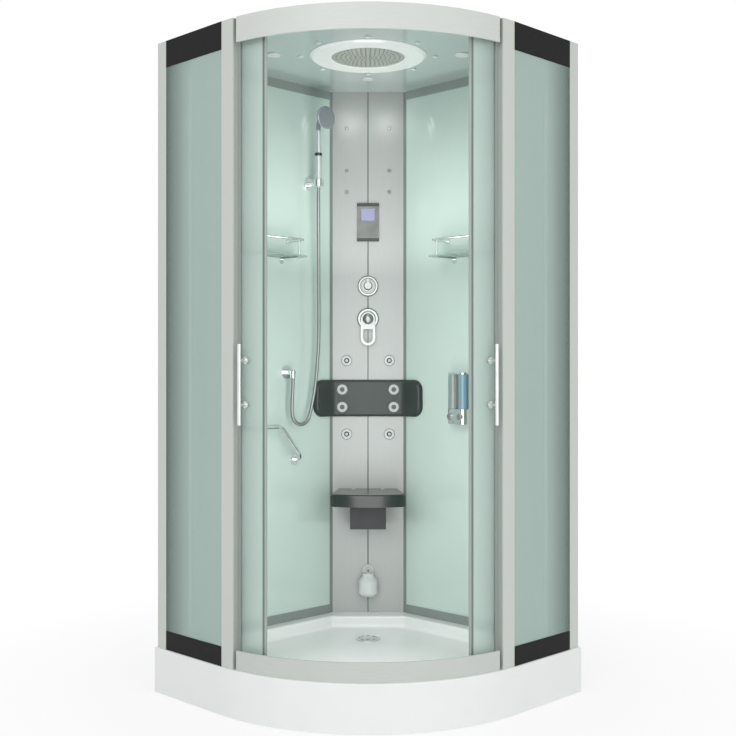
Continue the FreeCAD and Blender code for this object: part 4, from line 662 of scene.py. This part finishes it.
# ---------------------------------------------------------------------------------- backrest
PAD_HEIGHT = 0.139
PAD_WING = 0.093
PAD_THICK = 0.020
PAD_CORNER = 0.040
PAD_EDGE = 0.010
PAD_CROWN = 0.0012
PAD_LIFT = 0.0004
PAD_FOLD_SOFT = 0.020
PAD_STEP = 0.001


def pad_line(half):
    """The pad's plan line: flat on the column, then a soft 45 degree fold onto each wall."""
    spot = Vector((0, COLUMN_Y, 0))
    line = [(spot.copy(), Vector((0, -1, 0)))]
    count = int(half / PAD_STEP)
    for i in range(count):
        way = (i + 0.5) * half / count
        share = min(1, max(0, (way - COLUMN_HALF + PAD_FOLD_SOFT) / (2 * PAD_FOLD_SOFT)))
        angle = math.radians(45) * share
        spot += Vector((math.cos(angle), -math.sin(angle), 0)) * half / count
        line.append((spot.copy(), Vector((-math.sin(angle), -math.cos(angle), 0))))
    return line


def pad_point(line, half, along, off, height):
    """A point of the pad by its way along the line, off it, and up from the pad's middle."""
    index = min(len(line) - 1, round(abs(along) / half * (len(line) - 1)))
    spot, out = line[index]
    place = spot + out * off
    return Vector((math.copysign(place.x, along) if along else 0, place.y, PAD_CENTRE + height))


def edge_steps(half, edge, inner):
    """Places from -half to half, close together within edge of the ends."""
    near = [half - edge * (1 - math.cos(math.pi / 2 * i / 6)) for i in range(7)]
    middle = [(half - edge) * (1 - i / inner) for i in range(1, inner)]
    side = near + middle
    return [-place for place in side] + [0.0] + side[::-1]


def backrest():
    """A foam pad: crowned at its edges, rounded at its ends, flat where it is held."""
    half = COLUMN_HALF + PAD_WING
    tall = PAD_HEIGHT / 2
    line = pad_line(half)
    shape = bmesh.new()
    front = []
    rear = []
    for along in edge_steps(half, PAD_CORNER, 26):
        over = max(0, abs(along) - (half - PAD_CORNER))
        reach = tall - PAD_CORNER + math.sqrt(max(0, PAD_CORNER ** 2 - over ** 2))
        front_row = []
        rear_row = []
        for share in edge_steps(1.0, 0.24, 6):
            height = share * reach
            across = max(0, abs(height) - (tall - PAD_CORNER))
            deep = PAD_CORNER - math.hypot(over, across)
            inside = max(0, min(deep, half - abs(along), tall - abs(height)) / PAD_EDGE)
            swell = math.sqrt(1 - (1 - min(1, inside)) ** 2)
            crown = PAD_CROWN * math.cos(math.pi * height / PAD_HEIGHT)
            off = PAD_LIFT + (PAD_THICK - PAD_LIFT - PAD_CROWN + crown) * swell
            front_row.append(shape.verts.new(pad_point(line, half, along, off, height)))
            rear_row.append(shape.verts.new(pad_point(line, half, along, PAD_LIFT, height)))
        front.append(front_row)
        rear.append(rear_row)
    for rows, flip in ((front, False), (rear, True)):
        for near, far in zip(rows, rows[1:]):
            for i in range(len(near) - 1):
                loop = (near[i], far[i], far[i + 1], near[i + 1])
                shape.faces.new(loop[::-1] if flip else loop)
    bmesh.ops.remove_doubles(shape, verts=shape.verts, dist=0.00002)
    bmesh.ops.recalc_face_normals(shape, faces=shape.faces)
    piece = keep("backrest_pad", finished(shape, "backrest_pad"), PAD)
    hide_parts("backrest")


# the pad is painted darker on its wings and darkest at its rounded ends: painted shade
PAD = graded(
    "pad_slate", 0.42, sideways_between(0.0, 0.205),
    (0.0, tone(58, 67, 65)), (0.52, tone(56, 65, 63)), (0.72, tone(50, 58, 56)),
    (0.92, tone(49, 57, 55)), (1.0, tone(36, 46, 44)), grain=1500,
)
backrest()


# ------------------------------------------------------------------------------ rain shower
NUB_RINGS = 7
NUB_FIRST_RADIUS = 0.012
NUB_RING_STEP = 0.0158
NUB_SIDES = 8
# radius and drop below the face, from the nub's root to its tip
NUB_FORM = ((0.0026, -0.0006), (0.0022, 0.0016), (0.0012, 0.0026))


def nozzle_nubs():
    """Soft spray nubs in rings on the rain shower's grey face."""
    low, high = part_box("rain_shower_face")
    centre = Vector(((low[0] + high[0]) / 2, (low[1] + high[1]) / 2, low[2]))
    shape = bmesh.new()
    for ring in range(NUB_RINGS):
        radius = NUB_FIRST_RADIUS + ring * NUB_RING_STEP
        count = 6 + ring * 6
        for i in range(count):
            angle = math.tau * (i + 0.5 * (ring % 2)) / count
            base = centre + Vector((radius * math.cos(angle), radius * math.sin(angle), 0))
            rows = []
            for width, drop in NUB_FORM:
                row = []
                for k in range(NUB_SIDES):
                    turn = math.tau * k / NUB_SIDES
                    out = Vector((width * math.cos(turn), width * math.sin(turn), -drop))
                    row.append(shape.verts.new(base + out))
                rows.append(row)
            for near, far in zip(rows, rows[1:]):
                for k in range(NUB_SIDES):
                    j = (k + 1) % NUB_SIDES
                    shape.faces.new((near[k], near[j], far[j], far[k]))
            shape.faces.new(rows[0][::-1])
            shape.faces.new(rows[-1])
    bmesh.ops.recalc_face_normals(shape, faces=shape.faces)
    keep("spray_nubs", finished(shape, "spray_nubs"), NUB)


NUB = moulded("spray_nub", tone(146, 152, 145), 0.5)
nozzle_nubs()


# ---------------------------------------------------------------------------- control panel
BAR_TALL = 0.012
BAR_DEEP = 0.006
BAR_PAST_SIDES = 0.0003
BAR_PAST_FACE = 0.0006


def panel_bars():
    """Dark end bars of the mirror panel."""
    low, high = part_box("control_panel")
    face = low[1] - BAR_PAST_FACE
    left = low[0] - BAR_PAST_SIDES
    right = high[0] + BAR_PAST_SIDES
    for base, word in ((low[2], "low"), (high[2] - BAR_TALL, "high")):
        top = base + BAR_TALL
        loop = [(left, face, base), (right, face, base), (right, face, top), (left, face, top)]
        shape = slab(loop, (0, BAR_DEEP, 0))
        bmesh.ops.bevel(shape, geom=shape.edges[:], offset=0.0005, segments=2, affect="EDGES")
        name = f"panel_bar_{word}"
        keep(name, finished(shape, name), TRIM, smooth=False)


panel_bars()


# ------------------------------------------------------------------------------------- stage
def floor_white():
    """White where a camera or a reflection sees it, with most of its own shade near the cabin."""
    made = new_material("floor_white", (0.86, 0.86, 0.86), 0.9)
    tree = made.node_tree
    glow = tree.nodes.new("ShaderNodeEmission")
    glow.inputs["Strength"].default_value = 1.0
    mix = tree.nodes.new("ShaderNodeMixShader")
    rays = tree.nodes.new("ShaderNodeLightPath")
    away = share_of(made, from_point(made, 0.0, 0.0, up="Y"), 0.75, 1.7)
    glare = sum_of(made, "ADD", sum_of(made, "MULTIPLY", away, 0.2), 0.8)
    seen = sum_of(made, "MAXIMUM", rays.outputs["Is Camera Ray"], rays.outputs["Is Glossy Ray"])
    tree.links.new(sum_of(made, "MULTIPLY", seen, glare), mix.inputs["Fac"])
    tree.links.new(shader_of(made).outputs[0], mix.inputs[1])
    tree.links.new(glow.outputs[0], mix.inputs[2])
    tree.links.new(mix.outputs[0], tree.nodes["Material Output"].inputs["Surface"])
    return made


def floor():
    """White floor and backdrop in one sweep, which keeps the cabin's shadow."""
    half = 12.0
    back = 7.0
    bend = 3.0
    steps = 8
    height = 9.0
    shape = bmesh.new()
    profile = [(-half, 0.0), (back - bend, 0.0)]
    for i in range(1, steps + 1):
        angle = math.pi / 2 * i / steps
        profile.append((back - bend + bend * math.sin(angle), bend - bend * math.cos(angle)))
    profile.append((back, height))
    rows = [[shape.verts.new((x, y, z)) for y, z in profile] for x in (-half, half)]
    for i in range(len(profile) - 1):
        shape.faces.new((rows[0][i], rows[1][i], rows[1][i + 1], rows[0][i + 1]))
    data = finished(shape, "floor")
    data.polygons.foreach_set("use_smooth", [True] * len(data.polygons))
    piece = bpy.data.objects.new("floor", data)
    scene.collection.objects.link(piece)
    data.materials.append(floor_white())


floor()


def world():
    """Even studio light, and pure white where the camera sees past the floor."""
    made = bpy.data.worlds.new("studio")
    made.use_nodes = True
    tree = made.node_tree
    tree.nodes["Background"].inputs["Color"].default_value = (1, 1, 1, 1)
    tree.nodes["Background"].inputs["Strength"].default_value = 0.75
    white = tree.nodes.new("ShaderNodeBackground")
    mix = tree.nodes.new("ShaderNodeMixShader")
    rays = tree.nodes.new("ShaderNodeLightPath")
    white.inputs["Color"].default_value = (1, 1, 1, 1)
    tree.links.new(rays.outputs["Is Camera Ray"], mix.inputs["Fac"])
    tree.links.new(tree.nodes["Background"].outputs[0], mix.inputs[1])
    tree.links.new(white.outputs[0], mix.inputs[2])
    tree.links.new(mix.outputs[0], tree.nodes["World Output"].inputs["Surface"])
    scene.world = made


world()


def lamp(name, spot, aim, size, power, tall=None):
    """A square lamp, or one as tall as given, that faces a point."""
    data = bpy.data.lights.new(name, "AREA")
    data.shape = "RECTANGLE" if tall else "SQUARE"
    data.size = size
    if tall:
        data.size_y = tall
    data.energy = power
    piece = bpy.data.objects.new(name, data)
    piece.location = spot
    piece.rotation_euler = (Vector(aim) - Vector(spot)).to_track_quat("-Z", "Y").to_euler()
    scene.collection.objects.link(piece)


lamp("key", (-1.6, -4.6, 3.0), (0, 0, 1.0), 2.5, 58)
lamp("fill", (2.4, -4.0, 1.6), (0, 0, 1.0), 2.5, 36)
# soft light inside: from the roof, up onto the ceiling, and evenly from the doorway
lamp("roof_light", (0, -0.15, 2.02), (0, 0.0, 0.0), 0.3, 0.4)
lamp("ceiling_wash", (0, -0.08, 1.42), (0, -0.08, 2.1), 0.36, 2.1)
lamp("doorway", (0, -0.41, 0.86), (0, 0, 0.86), 0.5, 4.2, tall=1.30)
for side in (-1, 1):
    x = side * 0.07
    lamp(f"column_spot_{side + 2}", (x, COLUMN_Y - 0.11, 2.02), (x, COLUMN_Y, 1.99), 0.05, 0.035)
